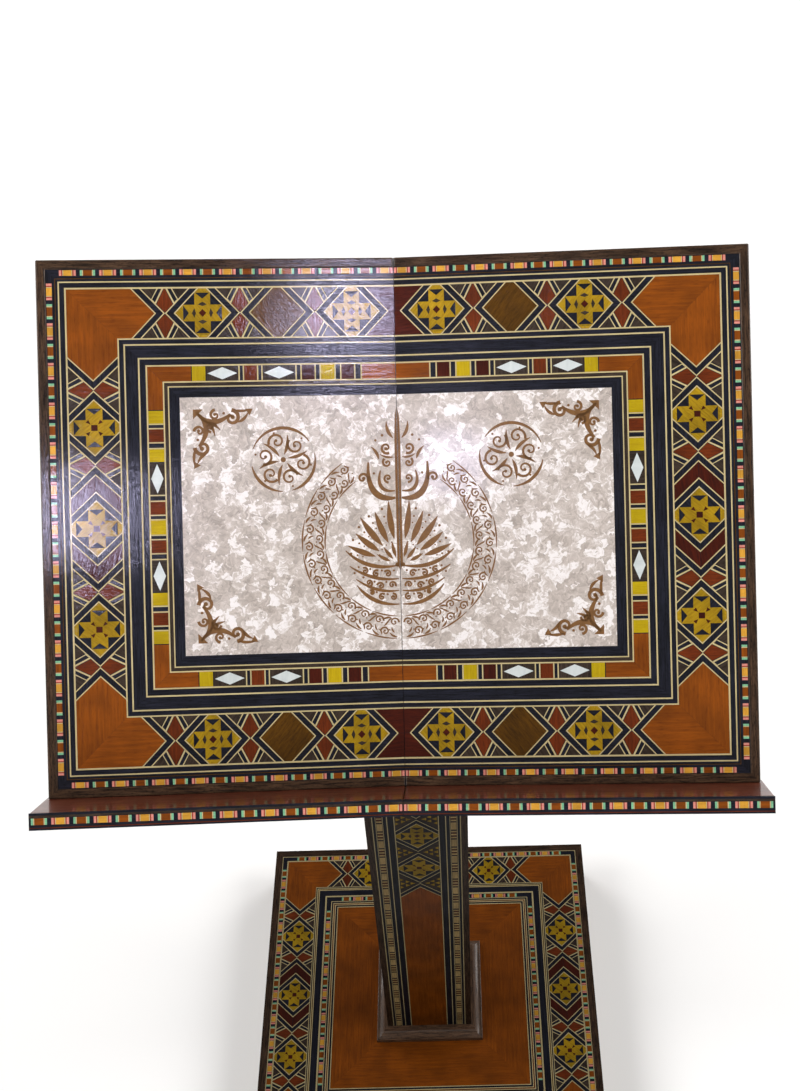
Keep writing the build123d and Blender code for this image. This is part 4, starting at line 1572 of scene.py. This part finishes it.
class STAND_OT_ledge(bpy.types.Operator):
    """Make the book ledge and its tile strip"""

    bl_idname = "stand.ledge"
    bl_label = "Book Ledge"

    def execute(self, context):
        radius = context.scene.stand_looks.ledge_radius
        for name, side in SIDES.items():
            grain = tuple(leaf_face(side).along)
            solid_piece(name + "_ledge", "stained_beech", grain, radius)
            ledge_front(name, side)
        return {"FINISHED"}


class STAND_OT_column(bpy.types.Operator):
    """Lay the column's four faces and make the moulding at its foot"""

    bl_idname = "stand.column"
    bl_label = "Column"

    def execute(self, context):
        front = COLUMN_TOP - COLUMN_HALF * TAN_SLOPE
        rear = COLUMN_TOP + COLUMN_HALF * TAN_SLOPE
        between = COLUMN_HALF - INLAY_DEPTH
        column_face("front", COLUMN_HALF, 0.0, front)
        column_face("rear", COLUMN_HALF, 0.0, rear)
        column_face("right", between, TAN_SLOPE, COLUMN_TOP)
        column_face("left", between, -TAN_SLOPE, COLUMN_TOP)
        radius = context.scene.stand_looks.edge_radius
        solid_piece("column_foot_moulding", "dark_walnut", ring_grain, radius * 0.5,
                    [((0, 0, 0), (1, 1, 0)), ((0, 0, 0), (1, -1, 0))])
        return {"FINISHED"}


class STAND_OT_base(bpy.types.Operator):
    """Lay the base's top and four sides"""

    bl_idname = "stand.base"
    bl_label = "Base"

    def execute(self, context):
        base_top()
        for name in QUARTER_TURNS:
            base_side(name, BASE_HALF if name in ("front", "rear") else BASE_HALF - INLAY_DEPTH)
        return {"FINISHED"}


# Small cool lights that glare in the varnish: a name, the leaf's side, where on the leaf in mm from
# the seam and from mid-height, the light's size in metres and its share of the power.
GLARES = (
    ("window_light", -1, 34.0, 150.0, 0.17, 0.95),
    ("far_window_light", -1, 240.0, 10.0, 0.16, 0.8),
    ("plate_window_light", 1, 38.0, 42.0, 0.12, 0.10),
)
# The glares' distance from the leaf in metres, and how widely each one's light spreads.
GLARE_DISTANCE = 1.5
GLARE_SPREAD = math.radians(9.0)


class STAND_OT_stage(bpy.types.Operator):
    """Set the floor, the lights and the camera"""

    bl_idname = "stand.stage"
    bl_label = "Stage"

    def execute(self, context):
        stage = context.scene.stand_stage
        half = stage.floor_size / 2
        corners = [(-half, -half, 0), (half, -half, 0), (half, half, 0), (-half, half, 0)]
        mesh = bpy.data.meshes.new("studio_floor")
        mesh.from_pydata(corners, [], [(0, 1, 2, 3)])
        mesh.materials.append(finished("studio_floor"))
        floor = bpy.data.objects.new("studio_floor", mesh)
        context.scene.collection.objects.link(floor)
        context.scene.view_settings.view_transform = "Standard"
        context.scene.world = studio_room(stage.room_light)
        eye = place_camera(context)
        aim = Vector((0.0, 0.0, 0.5))
        for name, place in (("left_key_light", (-2.3, -0.5, 2.5)), ("right_key_light", (2.3, -0.3, 2.5))):
            soft_light(context, name, Vector(place), aim, 1.7, stage.key_light, (1.0, 0.99, 0.98))
        for name, across in (("left_rear_light", -4.0), ("right_rear_light", 4.0)):
            soft_light(context, name, Vector((across, 4.2, 3.6)), Vector((across * 0.2, 2.4, 0.0)), 3.0,
                       stage.key_light * 3.2, (1.0, 1.0, 1.0))
        # The small lights stand where a leaf mirrors them towards the camera.
        for name, side, across, up, size, share in GLARES:
            leaf = leaf_face(side)
            spot = Vector(leaf.place(np.array([across, up]), np.array(0.0)))
            out = Vector(leaf.out)
            sight = (spot - eye).normalized()
            mirrored = sight - 2 * sight.dot(out) * out
            lamp = soft_light(context, name, spot + mirrored * GLARE_DISTANCE, spot, size,
                              stage.window_light * share, stage.window_colour)
            lamp.data.spread = GLARE_SPREAD
        return {"FINISHED"}


def studio_room(strength):
    """A room that is pale round the horizon and at its two sides, and dim overhead.

    The varnish mirrors the dim part, which keeps its dark woods dark.
    """
    world = bpy.data.worlds.new("studio_room")
    world.use_nodes = True
    tree = world.node_tree
    way = add(tree, "ShaderNodeSeparateXYZ", {"Vector": add(tree, "ShaderNodeTexCoord").outputs["Generated"]})
    dim = add(tree, "ShaderNodeMapRange", {
        "Value": way.outputs["Z"], "From Min": 0.12, "From Max": 0.50, "To Min": 1.0, "To Max": 0.10},
        interpolation_type="SMOOTHSTEP")
    aside = add(tree, "ShaderNodeMath", {0: way.outputs["X"]}, operation="ABSOLUTE")
    sides = add(tree, "ShaderNodeMapRange", {
        "Value": aside, "From Min": 0.38, "From Max": 0.68, "To Min": 0.0, "To Max": 1.0},
        interpolation_type="SMOOTHSTEP")
    pale = add(tree, "ShaderNodeMath", {0: dim, 1: sides}, operation="MAXIMUM")
    power = add(tree, "ShaderNodeMath", {0: pale, 1: strength}, operation="MULTIPLY")
    join(tree, tree.nodes["Background"], {"Strength": power, "Color": (1.0, 1.0, 1.0, 1.0)})
    return world


def soft_light(context, name, place, aim, size, power, colour):
    """A square area light at a place, turned to face a point."""
    data = bpy.data.lights.new(name, "AREA")
    data.size = size
    data.energy = power
    data.color = colour[:3]
    lamp = bpy.data.objects.new(name, data)
    turn = (aim - place).to_track_quat("-Z", "Y").to_matrix().to_4x4()
    lamp.matrix_world = Matrix.Translation(place) @ turn
    context.scene.collection.objects.link(lamp)
    return lamp


def place_camera(context):
    """The camera in front of the stand, above it and looking down, rolled slightly."""
    down, turn, roll = math.radians(46.374), math.radians(0.006), math.radians(1.348)
    ahead = Vector((math.sin(turn) * math.cos(down), math.cos(turn) * math.cos(down), -math.sin(down)))
    right = Vector((math.cos(turn), -math.sin(turn), 0.0))
    below = ahead.cross(right)
    right_rolled = math.cos(roll) * right + math.sin(roll) * below
    below_rolled = -math.sin(roll) * right + math.cos(roll) * below
    axes = Matrix((right_rolled, -below_rolled, -ahead)).transposed()
    eye = Vector((0.038594, -0.703686, 1.513481))
    data = bpy.data.cameras.new("camera")
    data.lens = 45.598
    data.sensor_width = 36.0
    data.sensor_fit = "AUTO"
    data.shift_x = -0.0496
    data.shift_y = 0.00244
    camera = bpy.data.objects.new("camera", data)
    camera.matrix_world = Matrix.Translation(eye) @ axes.to_4x4()
    context.scene.collection.objects.link(camera)
    context.scene.camera = camera
    return eye


class STAND_PT_panel(bpy.types.Panel):
    """Lists the stand's pieces and settings"""

    bl_label = "Stand"
    bl_idname = "STAND_PT_panel"
    bl_space_type = "VIEW_3D"
    bl_region_type = "UI"
    bl_category = "Stand"

    def draw(self, context):
        """The settings first, then a button for each operator."""
        layout = self.layout
        for group in (context.scene.stand_looks, context.scene.stand_stage):
            for name in group.__annotations__:
                layout.prop(group, name)
        for operator in OPERATORS:
            layout.operator(operator.bl_idname)


GROUPS = (StandLooks, StandStage)
OPERATORS = (
    STAND_OT_finishes, STAND_OT_leaf_inlay, STAND_OT_pearl_plates, STAND_OT_leaf_wood, STAND_OT_ledge,
    STAND_OT_column, STAND_OT_base, STAND_OT_stage,
)


def register():
    """Registers the classes and gives the scene its settings."""
    for part in GROUPS + OPERATORS + (STAND_PT_panel,):
        bpy.utils.register_class(part)
    bpy.types.Scene.stand_looks = bpy.props.PointerProperty(type=StandLooks)
    bpy.types.Scene.stand_stage = bpy.props.PointerProperty(type=StandStage)


def unregister():
    """Takes the settings and the classes away again."""
    del bpy.types.Scene.stand_stage
    del bpy.types.Scene.stand_looks
    for part in reversed(GROUPS + OPERATORS + (STAND_PT_panel,)):
        bpy.utils.unregister_class(part)


def main():
    """Builds the whole stand and its stage."""
    register()
    bpy.ops.stand.finishes()
    bpy.ops.stand.leaf_inlay()
    bpy.ops.stand.pearl_plates()
    bpy.ops.stand.leaf_wood()
    bpy.ops.stand.ledge()
    bpy.ops.stand.column()
    bpy.ops.stand.base()
    bpy.ops.stand.stage()


if __name__ == "__main__":
    main()
